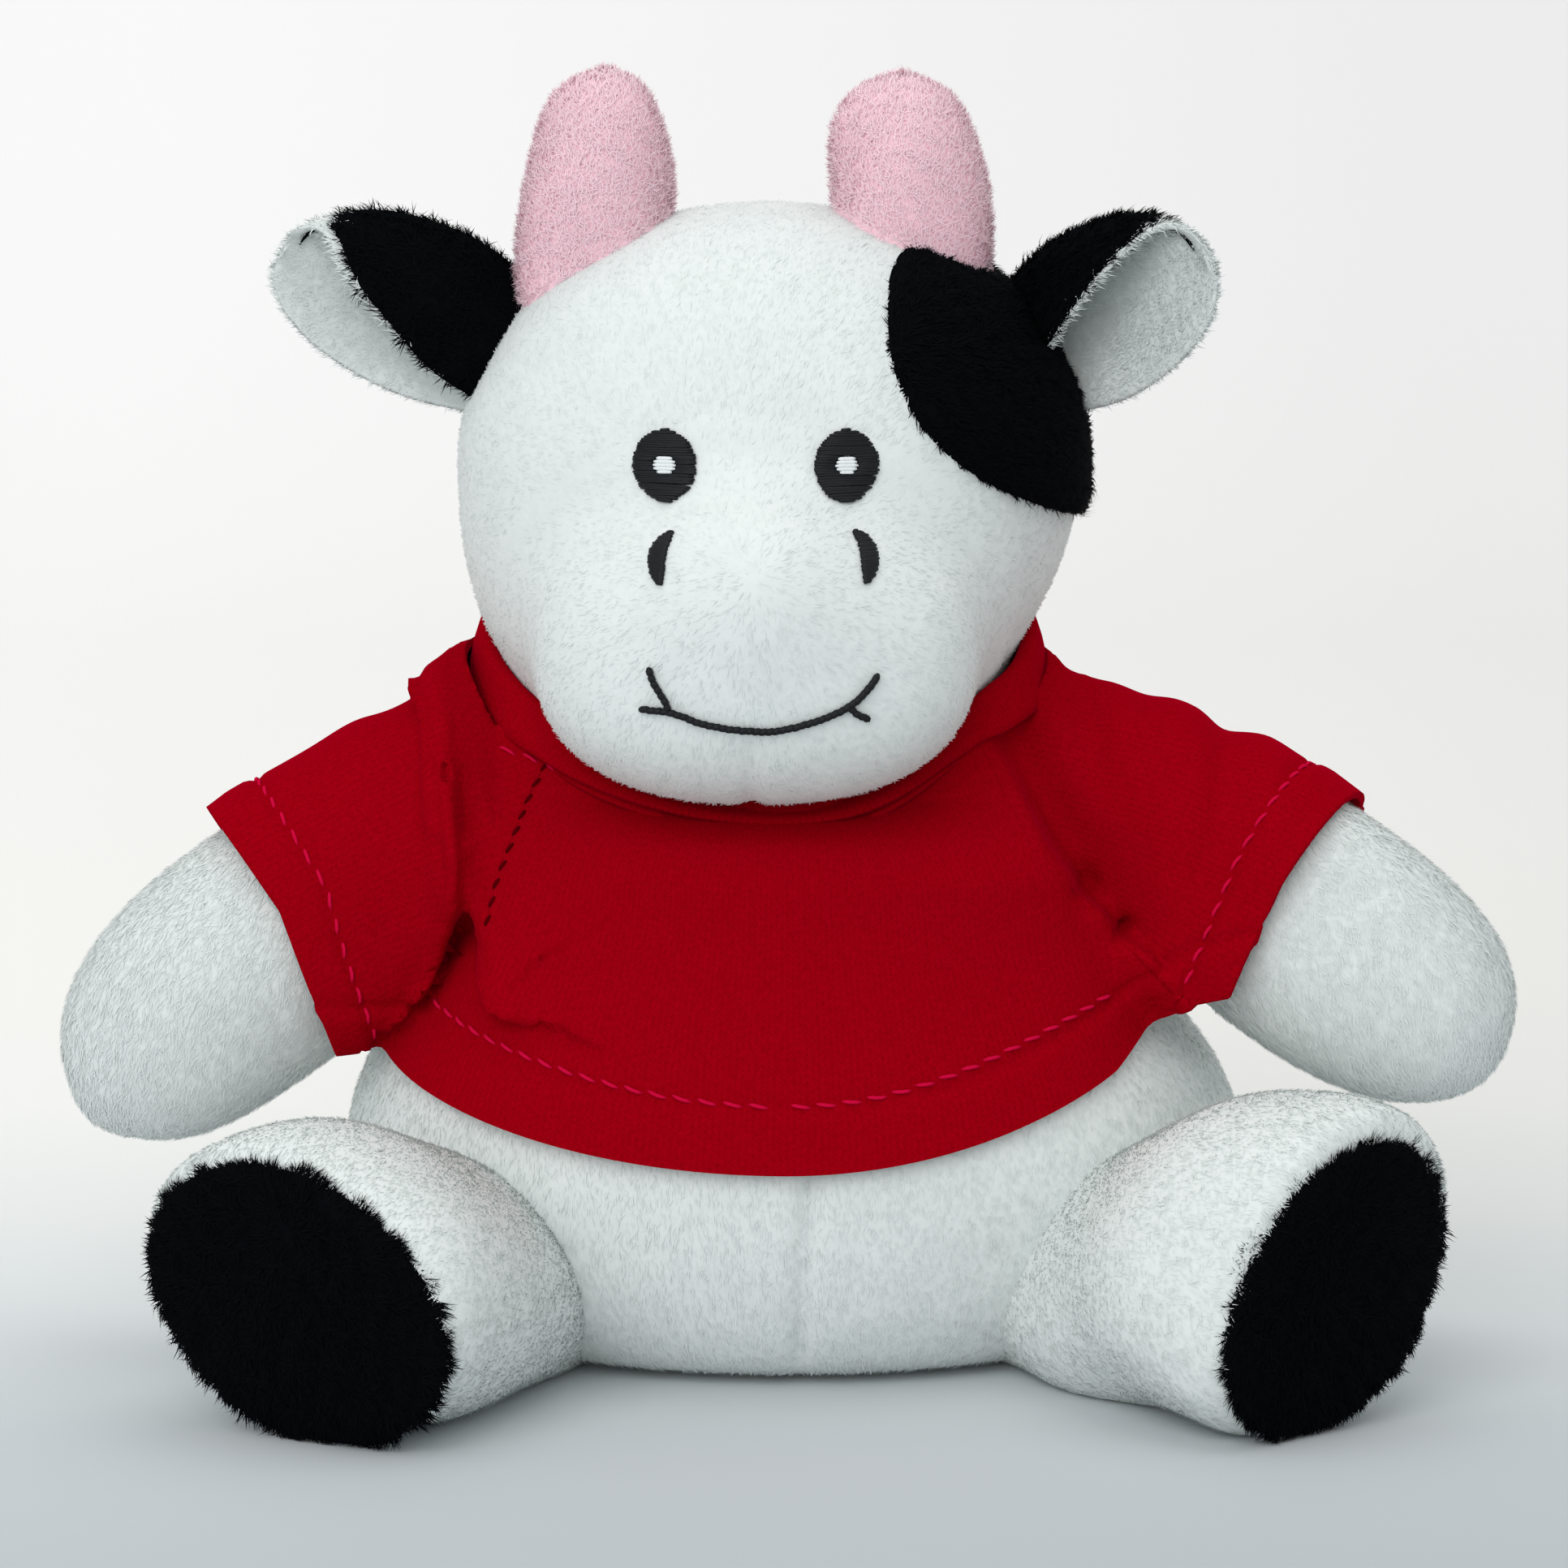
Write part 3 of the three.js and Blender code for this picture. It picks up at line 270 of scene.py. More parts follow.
def hair(name, colour, sheen=0.1, shine=0.1):
    """The plain finish of the hairs themselves."""
    finish, _, _ = new_finish(
        name,
        {"Base Color": (*colour, 1), "Roughness": 0.85, "Specular IOR Level": shine, "Sheen Weight": sheen},
    )
    finish.diffuse_color = (*colour, 1)
    return finish


def numbers_of(things, what, width=1, kind=float):
    """A value of every vertex, corner or triangle of a mesh, as an array."""
    values = np.empty(len(things) * width, kind)
    things.foreach_get(what, values)
    return values.reshape(-1, width) if width > 1 else values


TUFT_SIZE = 2.6  # how far apart the tufts of the pile lie, in millimetres
ROOT_DEPTH = 0.12  # how deep a hair starts in its backing
FLOOR_GAP = 0.1  # hairs that reach the floor lie on it, this far up


def grow_pile(
    name, skin, finish, comb, count, length, width, rise, seed, spread=0.35, clump=0.12, where=None
):
    """Short flat hairs all over a skin, each bent over towards the way that comb gives, in small tufts.

    Rise is how steeply a hair stands, in degrees, spread how far it strays, and clump how far its
    tuft draws it along.
    """
    mesh = skin.data
    mesh.calc_loop_triangles()
    corners = numbers_of(mesh.loop_triangles, "vertices", 3, np.int32)
    points = numbers_of(mesh.vertices, "co", 3) * 1000
    normals = numbers_of(mesh.vertices, "normal", 3)
    a, b, c = (points[corners[:, i]] for i in range(3))
    area = np.linalg.norm(np.cross(b - a, c - a), axis=1)
    draw = np.random.default_rng(seed)
    chosen = draw.choice(len(area), count, p=area / area.sum())
    u, v = draw.random(count), draw.random(count)
    over = u + v > 1
    u[over], v[over] = 1 - u[over], 1 - v[over]
    share = np.stack([1 - u - v, u, v], 1)[:, :, None]
    root = (np.stack([a, b, c], 1)[chosen] * share).sum(1)
    normal = unit((normals[corners[chosen]] * share).sum(1))
    if where is not None:
        kept = where(root)
        root, normal = root[kept], normal[kept]
    count = len(root)
    way = comb(root)
    way = unit(way - (way * normal).sum(1, keepdims=True) * normal, 1e-9)
    tuft = np.stack([lumps(root, TUFT_SIZE, 1.0, seed + 100 * k) for k in (1, 2, 3)], 1)
    way += draw.normal(size=(count, 3)) * spread + tuft * clump
    way = unit(way - (way * normal).sum(1, keepdims=True) * normal, 1e-9)
    lift = np.radians(rise * (0.6 + 0.8 * draw.random(count)))[:, None]
    reach = (length * (0.7 + 0.6 * draw.random(count)) * (1 + 0.5 * clump * tuft[:, 0]))[:, None]
    side = np.cross(way, normal) * width / 2
    root = root - normal * ROOT_DEPTH
    middle = root + (way * np.cos(lift) + normal * np.sin(lift)) * reach * 0.5
    tip = middle + (way * np.cos(lift * 0.35) + normal * np.sin(lift * 0.35)) * reach * 0.5
    blades = np.stack([root - side, root + side, middle - side * 0.8, middle + side * 0.8, tip], 1)
    blades[..., 2] = np.maximum(blades[..., 2], FLOOR_GAP)
    piled = bpy.data.meshes.new(name)
    piled.vertices.add(count * 5)
    piled.vertices.foreach_set("co", (blades * 0.001).ravel())
    triple = np.array([[0, 1, 3], [0, 3, 2], [2, 3, 4]])
    faces = (np.arange(count)[:, None, None] * 5 + triple[None]).reshape(-1, 3)
    piled.loops.add(faces.size)
    piled.loops.foreach_set("vertex_index", faces.ravel().astype(np.int32))
    piled.polygons.add(len(faces))
    piled.polygons.foreach_set("loop_start", np.arange(0, faces.size, 3, dtype=np.int32))
    piled.polygons.foreach_set("loop_total", np.full(len(faces), 3, np.int32))
    piled.polygons.foreach_set("use_smooth", np.ones(len(faces), bool))
    piled.update()
    shaded = unit(normal + draw.normal(size=(count, 3)) * 0.07 + tuft * clump * 0.12)
    piled.normals_split_custom_set_from_vertices(np.repeat(shaded, 5, axis=0).tolist())
    return shown(name, piled, finish)


def downwards(points):
    return np.tile((0.0, -0.25, -1.0), (len(points), 1))


def over_hem(points, up=0.0):
    """Height over the T-shirt's hem, which rises to the back and a little to the sides."""
    x = points[..., 0]
    aside = np.where(x > 0, 0.0038 * x**2 + 0.35 * np.clip(x - 38, 0, 9), 0.0012 * x**2)
    depth = points[..., 1] - BODY_Y + BODY_HALF_DEEP
    return points[..., 2] - up - aside - (HEM_FRONT + (HEM_BACK - HEM_FRONT) * depth / (2 * BODY_HALF_DEEP))


WHITE_PLUSH = plush("white_plush", (0.74, 0.785, 0.77), (0.79, 0.83, 0.815))
WHITE_HAIR = hair("white_hair", (0.785, 0.83, 0.815))

body_run = smooth_rows(BODY_ROWS, 70)
body_run = np.concatenate([[(0.0, 14.0, 11.0), (0.0, 26.0, 20.0)], body_run])
body_middles = np.stack([np.full(len(body_run), BODY_X), np.full(len(body_run), BODY_Y), body_run[:, 0]], 1)
body_rings = level_rings(body_middles, body_run, 300)
flat = body_rings.reshape(-1, 3)
outwards = unit((flat - (BODY_X, BODY_Y, 0)) * (1, 1, 0))
grown = lumps(flat, 42, 0.5, 3) - BODY_INSET
off_seam = flat[:, 0] - BELLY_SEAM_X - BELLY_SEAM_LEAN * flat[:, 2]
grown -= BELLY_SEAM_DEPTH * (np.exp(-((off_seam / 1.1) ** 2)) * (flat[:, 1] < BODY_Y))
grown *= np.clip(flat[:, 2] / 5, 0, 1)
body_rings = (flat + outwards * grown[:, None]).reshape(body_rings.shape)
body_skin = skin_over("body_plush", body_rings, WHITE_PLUSH)
body_pile = grow_pile(
    "body_pile", body_skin, WHITE_HAIR, downwards,
    count=110000, length=1.15, width=0.15, rise=24, seed=11,
    where=lambda p: (p[:, 2] > 0.6) & (over_hem(p) < 2),
)
for piece in (body_skin, body_pile):
    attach(piece, "torso")
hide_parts("body_cover", "body_stuffing", "pellet_pouch")

# Head: a round bag of the same plush, a little wider than high, turned face on.
# Its pile runs away from the nose over the forehead and the cheeks.
HEAD_X, HEAD_Z = -1.8, 100
HEAD_LEAN = 1.3
HEAD_ROWS = [
    (66.5, 1.8, 1.6), (68.5, 15.9, 13.6), (73.9, 26.0, 22.2), (81.9, 31.1, 26.8), (91.0, 34.9, 30.0),
    (100.0, 36.5, 31.0), (108.4, 36.0, 30.4), (116.1, 32.9, 27.9), (123.5, 27.6, 23.3), (129.1, 19.5, 16.4),
    (132.2, 11.7, 9.9), (133.5, 1.8, 1.6),
]
FACE_X = -3.2
FACE_FRONT = BODY_Y - 31


def head_middle(height):
    """The head leans a little, so its lower part stands further to the toy's right."""
    return HEAD_X - HEAD_LEAN * np.clip((HEAD_Z - height) / 16, 0, 1)


def away_from_nose(points):
    return points - np.array((FACE_X, -30.0, 92.0))


head_run = smooth_rows(HEAD_ROWS, 80)
head_middles = np.stack([head_middle(head_run[:, 0]), np.full(80, BODY_Y), head_run[:, 0]], 1)
head_rings = level_rings(head_middles, head_run, 120)
flat = head_rings.reshape(-1, 3)
outwards = unit(flat - (HEAD_X, BODY_Y, HEAD_Z))
flat = flat + outwards * (lumps(flat, 38, 0.35, 5) - 0.25)[:, None]
head_skin = skin_over("head_plush", flat.reshape(head_rings.shape), WHITE_PLUSH)


# Muzzle: a wide, low pad of the same plush sewn round its edge to the front of the head.
# The filling swells it into a soft nose between the nostrils.
MUZZLE_MIDDLE = np.array((FACE_X, FACE_FRONT + 7.2, 83.4))
MUZZLE_REACH = np.array((26.0, 19.8, 17.8))
NOSE_MIDDLE = np.array((FACE_X - 0.2, FACE_FRONT + 5.6, 91.0))
NOSE_REACH = np.array((12.6, 19.0, 12.8))
MUZZLE_SOFTNESS, NOSE_SOFTNESS = 7.5, 9.0  # of the hollows round the muzzle and the nose


def oval_field(points, middle, reach, power):
    """About how far each point lies outside an oval body; a higher power makes it blunter."""
    off = np.abs((points - middle) / reach)
    near = (off**power).sum(-1) ** (1 / power) + 1e-6
    slope = np.linalg.norm((off / near[..., None]) ** (power - 1) / reach, axis=-1)
    return (near - 1) / (slope + 1e-6)


def upright_field(points, rows, middle_x, middle_y):
    """About how far each point lies outside an upright form."""
    wide, deep = sizes_at(rows, points[..., 2])
    near = np.hypot((points[..., 0] - middle_x) / wide, (points[..., 1] - middle_y) / deep)
    return np.maximum((near - 1) * np.minimum(wide, deep), points[..., 2] - rows[-1][0])


def joined(a, b, softness):
    """The lesser of two fields, with a soft hollow where they meet."""
    mix = np.clip(0.5 + 0.5 * (b - a) / softness, 0, 1)
    return b + (a - b) * mix - softness * mix * (1 - mix)


def muzzle_field(points):
    pad = oval_field(points, MUZZLE_MIDDLE, MUZZLE_REACH, 2.35)
    nose = oval_field(points, NOSE_MIDDLE, NOSE_REACH, 2.0)
    cleft = np.exp(-(((points[..., 0] - FACE_X + 0.4) / 1.2) ** 2))
    cleft *= np.clip((78 - points[..., 2]) / 4, 0, 1)
    return joined(pad, nose, NOSE_SOFTNESS) + 0.5 * cleft + 0.8


def head_field(points):
    return upright_field(points, HEAD_ROWS, head_middle(points[..., 2]), BODY_Y)


def off_muzzle(points):
    """How far outside the muzzle's seam each point of the face lies."""
    return muzzle_field(points) - head_field(points)


def face_field(points):
    seam = np.exp(-(((off_muzzle(points) - 2.2) / 1.1) ** 2))
    seam *= np.clip((points[..., 2] - 70) / 6, 0, 1)
    return joined(muzzle_field(points), head_field(points), MUZZLE_SOFTNESS) + 0.25 * seam


def last_inside(field, place, inner, outer, rounds):
    """How far from an inner reach towards an outer one a field's form goes, by halving the stretch."""
    for _ in range(rounds):
        half = (inner + outer) / 2
        inside = field(place(half)) < 0
        inner, outer = np.where(inside, half, inner), np.where(inside, outer, half)
    return inner


def skin_points(field, middle, ways, far):
    """Where rays from a middle leave the form of a field."""

    def place(reach):
        return middle + ways * reach[:, None]

    return place(last_inside(field, place, np.zeros(len(ways)), np.full(len(ways), far), 26))


rise_steps, turn_steps = 90, 150
rise = np.linspace(0.02, np.pi - 0.02, rise_steps)
turn = np.linspace(0, 2 * np.pi, turn_steps, endpoint=False)
ways = np.stack(
    [
        np.sin(rise)[:, None] * np.cos(turn)[None],
        -np.cos(rise)[:, None] * np.ones(turn_steps)[None],
        np.sin(rise)[:, None] * np.sin(turn)[None],
    ],
    -1,
).reshape(-1, 3)
muzzle_points = skin_points(face_field, MUZZLE_MIDDLE + (0, -4, 2), ways, 70)
buried = np.clip((off_muzzle(muzzle_points) - MUZZLE_SOFTNESS) / 1.5, 0, 1.6)
muzzle_points -= ways * buried[:, None]
buried = buried.reshape(rise_steps, turn_steps)
muzzle_rings = muzzle_points.reshape(rise_steps, turn_steps, 3)
# The rings behind that lie wholly inside the head are left out.
muzzle_rings = muzzle_rings[: int(np.argmax(buried.min(1) > 1.5)) or rise_steps]
muzzle_skin = skin_over("muzzle_plush", muzzle_rings, WHITE_PLUSH)
head_pile = grow_pile(
    "head_pile", head_skin, WHITE_HAIR, away_from_nose,
    count=64000, length=1.1, width=0.14, rise=22, seed=12,
    where=lambda p: off_muzzle(p) > MUZZLE_SOFTNESS - 0.6,
)
muzzle_pile = grow_pile(
    "muzzle_pile", muzzle_skin, WHITE_HAIR, away_from_nose,
    count=44000, length=1.1, width=0.14, rise=22, seed=13,
    where=lambda p: off_muzzle(p) < MUZZLE_SOFTNESS + 0.4,
)
for piece in (head_skin, head_pile, muzzle_skin, muzzle_pile):
    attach(piece, "head")
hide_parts("head_cover", "head_stuffing")
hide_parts("muzzle")

# Black patch: a piece of black plush set into the left temple, from the horn over the brow to
# behind the ear. Its longer hairs break up its edge.
PATCH_EDGE = [  # height, then how far its front edge stands to the side
    (97.3, 34.4), (99.6, 29.5), (102.6, 23.4), (107.3, 17.0),
    (112.5, 13.6), (118.4, 12.1), (125.5, 12.7), (129.4, 15.2),
]
PATCH_LOW, PATCH_TOP = PATCH_EDGE[0][0], PATCH_EDGE[-1][0]
PATCH_BACK = 6.5
PATCH_HIGH = 0.9


def sheet_between(name, outer, inner, finish):
    """A closed sheet between two grids of points."""
    rows, columns = outer.shape[:2]
    at = np.arange(rows * columns).reshape(rows, columns)
    under = at + rows * columns

    def quads(a, b, c, d):
        return np.stack([a.ravel(), b.ravel(), c.ravel(), d.ravel()], 1).tolist()

    faces = quads(at[:-1, :-1], at[:-1, 1:], at[1:, 1:], at[1:, :-1])
    faces += quads(under[:-1, :-1], under[1:, :-1], under[1:, 1:], under[:-1, 1:])
    faces += quads(at[:-1, 0], at[1:, 0], under[1:, 0], under[:-1, 0])
    faces += quads(at[:-1, -1], under[:-1, -1], under[1:, -1], at[1:, -1])
    faces += quads(at[0, :-1], under[0, :-1], under[0, 1:], at[0, 1:])
    faces += quads(at[-1, :-1], at[-1, 1:], under[-1, 1:], under[-1, :-1])
    points = np.concatenate([outer.reshape(-1, 3), inner.reshape(-1, 3)])
    return piece_of(name, points, faces, finish)


BLACK_PLUSH = plush(
    "black_plush", (0.0012, 0.0016, 0.0020), (0.0034, 0.0040, 0.0048), sheen=0.0, shine=0.01
)
BLACK_HAIR = hair("black_hair", (0.0024, 0.0030, 0.0038), sheen=0.0, shine=0.03)
patch_heights = np.linspace(PATCH_LOW, PATCH_TOP, 44)
patch_shares = np.linspace(0, 1, 48)
edge_run = smooth_rows(PATCH_EDGE, 60)
patch_wide, patch_deep = sizes_at(HEAD_ROWS, patch_heights)
patch_start = np.interp(patch_heights, edge_run[:, 0], edge_run[:, 1])
patch_from = np.arcsin(np.clip((patch_start - HEAD_X) / patch_wide, -1, 0.999))
patch_to = np.pi / 2 + np.arcsin(np.clip(PATCH_BACK / patch_deep, -1, 1))
patch_turn = patch_from[:, None] + (patch_to - patch_from)[:, None] * patch_shares[None]
row_room = np.minimum(patch_heights - PATCH_LOW, PATCH_TOP - patch_heights)[:, None]
column_room = np.minimum(patch_shares, 1 - patch_shares)[None]
column_room = column_room * (patch_to - patch_from)[:, None] * patch_wide[:, None]
patch_rise = 1 - np.exp(-np.minimum(row_room, column_room) / 0.7)


def patch_grid(height):
    out = PATCH_HIGH * patch_rise + height
    return np.stack(
        [
            HEAD_X + (patch_wide[:, None] + out) * np.sin(patch_turn),
            BODY_Y - (patch_deep[:, None] + out) * np.cos(patch_turn),
            np.repeat(patch_heights[:, None], len(patch_shares), 1),
        ],
        -1,
    )


patch_skin = sheet_between("patch_plush", patch_grid(0.05), patch_grid(-1.2), BLACK_PLUSH)


def down_and_out(points):
    return points - np.array((8.0, -26.0, 124.0))


patch_pile = grow_pile(
    "patch_pile", patch_skin, BLACK_HAIR, down_and_out,
    count=34000, length=1.6, width=0.16, rise=24, seed=14, spread=0.45, clump=0.7,
    where=lambda p: head_field(p) > 0.0,
)
for piece in (patch_skin, patch_pile):
    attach(piece, "head")
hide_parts("eye_patch")

# Eyes: ovals of black satin stitch with a small white highlight, embroidered through the plush
# before the head was sewn, so that the white pile crowds over their edges.
EYE_SPREAD = 10.25
EYE_Z = 105.5
EYE_HALF = (3.6, 3.85)
GLINT_HALF = (1.2, 1.0)
EYE_THREAD, EYE_PITCH = 0.24, 0.26
GLINT_THREAD, GLINT_PITCH = 0.22, 0.38
SIDES = (("left", 1), ("right", -1))  # the toy's own left is towards +x


def thread_twist():
    """Group: the twist of a thread's fibres, as a height."""
    group, start, end = new_group("thread_twist", {"Fineness": 2600}, ("Height",))
    place = add_node(group, "TexCoord")
    twist = add_node(group, "TexNoise")
    group.links.new(place.outputs["Object"], twist.inputs["Vector"])
    group.links.new(start.outputs["Fineness"], twist.inputs["Scale"])
    group.links.new(twist.outputs["Fac"], end.inputs["Height"])
    return group


TWIST = thread_twist()


def thread_finish(name, colour, shine):
    """Plain sewing or embroidery thread."""
    finish, tree, shader = new_finish(
        name, {"Base Color": (*colour, 1), "Roughness": 0.55, "Specular IOR Level": shine}
    )
    twist = add_node(tree, "Group", {"Fineness": 2600}, node_tree=TWIST)
    lay_relief(tree, shader, twist.outputs["Height"], 0.4, 0.0002)
    return finish


BLACK_THREAD = thread_finish("black_thread", (0.006, 0.007, 0.008), 0.25)
WHITE_THREAD = thread_finish("white_thread", (0.82, 0.85, 0.86), 0.3)


def face_front(x, z):
    """How far forward the head or the muzzle reaches behind each point of a front view."""
    x, z = np.broadcast_arrays(np.asarray(x, float), np.asarray(z, float))

    def place(y):
        return np.stack([x, y, z], -1)

    return last_inside(face_field, place, np.full(x.shape, BODY_Y), np.full(x.shape, -50.0), 26)


def threads(name, lines, radius, finish, facings=None):
    """Round threads along lines of points, as one mesh of closed tubes."""
    points, faces = [], []
    for line, facing in zip(lines, facings or [(0, 1, 0.2)] * len(lines)):
        line = np.asarray(line, float)
        along = unit(np.gradient(line, axis=0), 1e-9)
        aside = unit(np.cross(along, facing), 1e-9)
        above = np.cross(along, aside)
        thick = np.full(len(line), radius)
        thick[0] = thick[-1] = radius * 0.55
        rings = oval_rings(line, aside * thick[:, None], above * thick[:, None], 6)
        start = sum(len(part) for part in points)
        whole = np.concatenate([rings.reshape(-1, 3), [line[0]], [line[-1]]])
        faces += [tuple(start + i for i in face) for face in ring_faces(len(line), 6)]
        points.append(whole)
    return piece_of(name, np.concatenate(points), faces, finish)


def on_face(x, z, out):
    """Points in front of the face, by their place in a front view and how far they stand off it."""
    return np.stack([x, face_front(x, z) - out, z], -1)


draw = np.random.default_rng(21)
for side, way in SIDES:
    eye_x = FACE_X + way * EYE_SPREAD
    black, white = [], []
    for z in np.arange(-EYE_HALF[1] + 0.12, EYE_HALF[1], EYE_PITCH):
        reach = EYE_HALF[0] * math.sqrt(max(1 - (z / EYE_HALF[1]) ** 2, 0.02))
        left, right = -reach - draw.uniform(-0.1, 0.12), reach + draw.uniform(-0.1, 0.12)
        gap = GLINT_HALF[0] * math.sqrt(max(1 - (z / GLINT_HALF[1]) ** 2, 0))
        parts = [(left, -gap), (gap, right)] if gap else [(left, right)]
        for start, end in parts:
            x = eye_x + np.linspace(start, end, 9)
            level = EYE_Z + z + draw.uniform(-0.05, 0.05) + np.linspace(0, draw.uniform(-0.1, 0.1), 9)
            black.append(on_face(x, level, 0.35 + 0.3 * np.sin(np.linspace(0.1, 3.04, 9))))
    for z in np.arange(-GLINT_HALF[1] + 0.2, GLINT_HALF[1], GLINT_PITCH):
        reach = GLINT_HALF[0] * math.sqrt(1 - (z / GLINT_HALF[1]) ** 2) + draw.uniform(0, 0.15)
        x = eye_x + np.linspace(-reach, reach, 7)
        white.append(on_face(x, EYE_Z + z + 0 * x, 0.7 + 0 * x))
    eye = threads("eye_" + side + "_stitches", black, EYE_THREAD, BLACK_THREAD)
    glint = threads("eye_" + side + "_glint", white, GLINT_THREAD, WHITE_THREAD)
    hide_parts("eye_" + side)
    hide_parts("eye_glint_" + side)
    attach(eye, "head")
    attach(glint, "head")

# Nostrils: two crescents of black satin stitch where the nose rises from the muzzle. Each row of
# thread lies level and is sewn through the plush.
NOSTRIL_MIDDLE = -2.3
NOSTRIL_THREAD = 0.26
NOSTRIL_ROWS = [  # height, inner edge, outer edge, from the middle of the nose
    (98.6, 10.1, 10.5), (97.9, 10.4, 11.7), (96.9, 10.8, 12.5), (95.8, 11.0, 12.8), (94.8, 11.1, 12.7),
    (93.9, 11.2, 12.3), (93.3, 11.3, 11.8),
]
nostril_run = smooth_rows(NOSTRIL_ROWS, 34)
for side, way in SIDES:
    rows = []
    for z, inner, outer in nostril_run:
        start, end = inner - draw.uniform(0, 0.15), outer + draw.uniform(0, 0.15)
        x = NOSTRIL_MIDDLE + way * np.linspace(start, end, 6)
        level = z + np.linspace(0, draw.uniform(-0.1, 0.1), 6)
        rows.append(on_face(x, level, 0.4 + 0 * x))
    nostril = threads("nostril_" + side + "_stitches", rows, NOSTRIL_THREAD, BLACK_THREAD)
    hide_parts("nostril_" + side)
    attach(nostril, "head")

# Mouth: a line of black backstitch across the muzzle, with a short tick near each end. It is
# embroidered through the plush, and each stitch starts a little before the last one ends.
MOUTH_LINES = [
    [
        (-16.1, 79.2), (-14.0, 79.0), (-12.3, 78.8), (-8.7, 77.6), (-3.3, 76.8), (0.8, 77.2),
        (5.8, 78.8), (8.6, 80.6), (10.5, 83.0),
    ],
    [(-15.1, 84.0), (-14.5, 82.2), (-13.2, 80.0), (-12.9, 79.0)],
    [(7.2, 79.6), (8.2, 78.6), (9.5, 78.0)],
]
MOUTH_THREAD, MOUTH_STITCH, MOUTH_PITCH = 0.42, 1.15, 0.75
stitches = []
for line in MOUTH_LINES:
    run = smooth_rows(line, 200)
    length = np.concatenate([[0], np.cumsum(np.hypot(*np.diff(run, axis=0).T))])
    for start in np.arange(0, length[-1] - 0.4, MOUTH_PITCH):
        span = np.linspace(start, min(start + MOUTH_STITCH, length[-1]), 5)
        x, z = np.interp(span, length, run[:, 0]), np.interp(span, length, run[:, 1])
        z = z + np.linspace(-0.1, 0.12, 5) + draw.uniform(-0.05, 0.05)
        stitches.append(on_face(x, z, 0.3 + 0.25 * np.sin(np.linspace(0, np.pi, 5))))
mouth = threads("mouth_stitches", stitches, MOUTH_THREAD, BLACK_THREAD)
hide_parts("mouth")
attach(mouth, "head")

# Horns: stuffed fingers of pink plush sewn to the front of the crown. Their pile stands more
# upright than that of the head.
HORN_ROWS = [  # share of the height and of the width
    (0.0, 0.9), (0.25, 0.99), (0.5, 0.98), (0.7, 0.9), (0.84, 0.74), (0.94, 0.48), (1.0, 0.04),
]
HORN_OUT = 18.6
HORN_ROOT = 120.4
HORN_HEIGHT = 28.2
HORN_HALF = {1: (9.2, 7.4), -1: (8.6, 7.3)}
HORN_SHIFT, HORN_SINK = {1: 0.6, -1: 0.4}, {1: 0.5, -1: 0.0}


def upwards(points):
    return np.tile((0.0, -0.2, 1.0), (len(points), 1))


PINK_PLUSH = plush("pink_plush", (0.93, 0.60, 0.68), (0.98, 0.68, 0.76))
PINK_HAIR = hair("pink_hair", (0.98, 0.73, 0.80))
for side, way in SIDES:
    run = smooth_rows([(up, wide, wide) for up, wide in HORN_ROWS], 46)
    middles = np.stack(
        [
            FACE_X + way * (HORN_OUT - 1.6 * run[:, 0] ** 2) - HORN_SHIFT[way],
            np.full(46, BODY_Y - 3.0) + 1.2 * run[:, 0],
            HORN_ROOT + HORN_HEIGHT * run[:, 0] - HORN_SINK[way],
        ],
        1,
    )
    rings = level_rings(middles, run * (1, *HORN_HALF[way]), 60)
    flat = rings.reshape(-1, 3)
    rings = rings + (lumps(flat, 14, 0.3, 30 + way)[:, None] * (1, 1, 0)).reshape(rings.shape)
    horn = skin_over("horn_" + side + "_plush", rings, PINK_PLUSH)
    pile = grow_pile(
        "horn_" + side + "_pile", horn, PINK_HAIR, upwards,
        count=26000, length=1.5, width=0.12, rise=46, seed=32 + way, spread=0.9,
        where=lambda p: head_field(p) > -0.3,
    )
    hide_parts("horn_" + side)
    for piece in (horn, pile):
        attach(piece, "head")

# Ears: a back of black plush and a lining of white plush, sewn together round the edge, turned,
# folded lengthwise at the root and sewn to the side of the head.
EAR_ROWS = [  # share of the length, of the width and of the fold's depth
    (-0.22, 0.72, 0.8), (0.0, 0.88, 0.92), (0.25, 1.0, 1.0), (0.5, 0.98, 0.92), (0.72, 0.86, 0.76),
    (0.88, 0.66, 0.6), (0.97, 0.42, 0.45), (1.0, 0.24, 0.35),
]
EAR_LENGTH, EAR_WIDTH, EAR_FOLD = 26.5, 21.0, 12.0
EAR_Z = 116.5
EAR_LIFT = math.radians(25)
EAR_FORWARD = {"left": math.radians(44), "right": math.radians(10)}
EAR_FOOT = 248  # where the lower edge lies, in degrees over level to the front
EAR_BACK_FOOT, EAR_BACK_SHORT = EAR_FOOT - 12, 1.5
EAR_EDGE = {  # where the upper edge lies, from the root to the tip
    "left": (-22, -4, 14, 38, 84),
    "right": (-40, -28, -12, 10, 76),
}


def ear_frame(side, way):
    """The ear's root, and its ways along, to the front and up."""
    forward = EAR_FORWARD[side]
    along = np.array((
        way * math.cos(EAR_LIFT) * math.cos(forward),
        -math.cos(EAR_LIFT) * math.sin(forward),
        math.sin(EAR_LIFT),
    ))
    front = np.array((-way * math.sin(forward), -math.cos(forward), 0.0))
    up = np.cross(front, along) if way > 0 else np.cross(along, front)
    wide, _ = sizes_at(HEAD_ROWS, EAR_Z)
    return np.array((HEAD_X + way * wide, BODY_Y, EAR_Z)), along, front, up


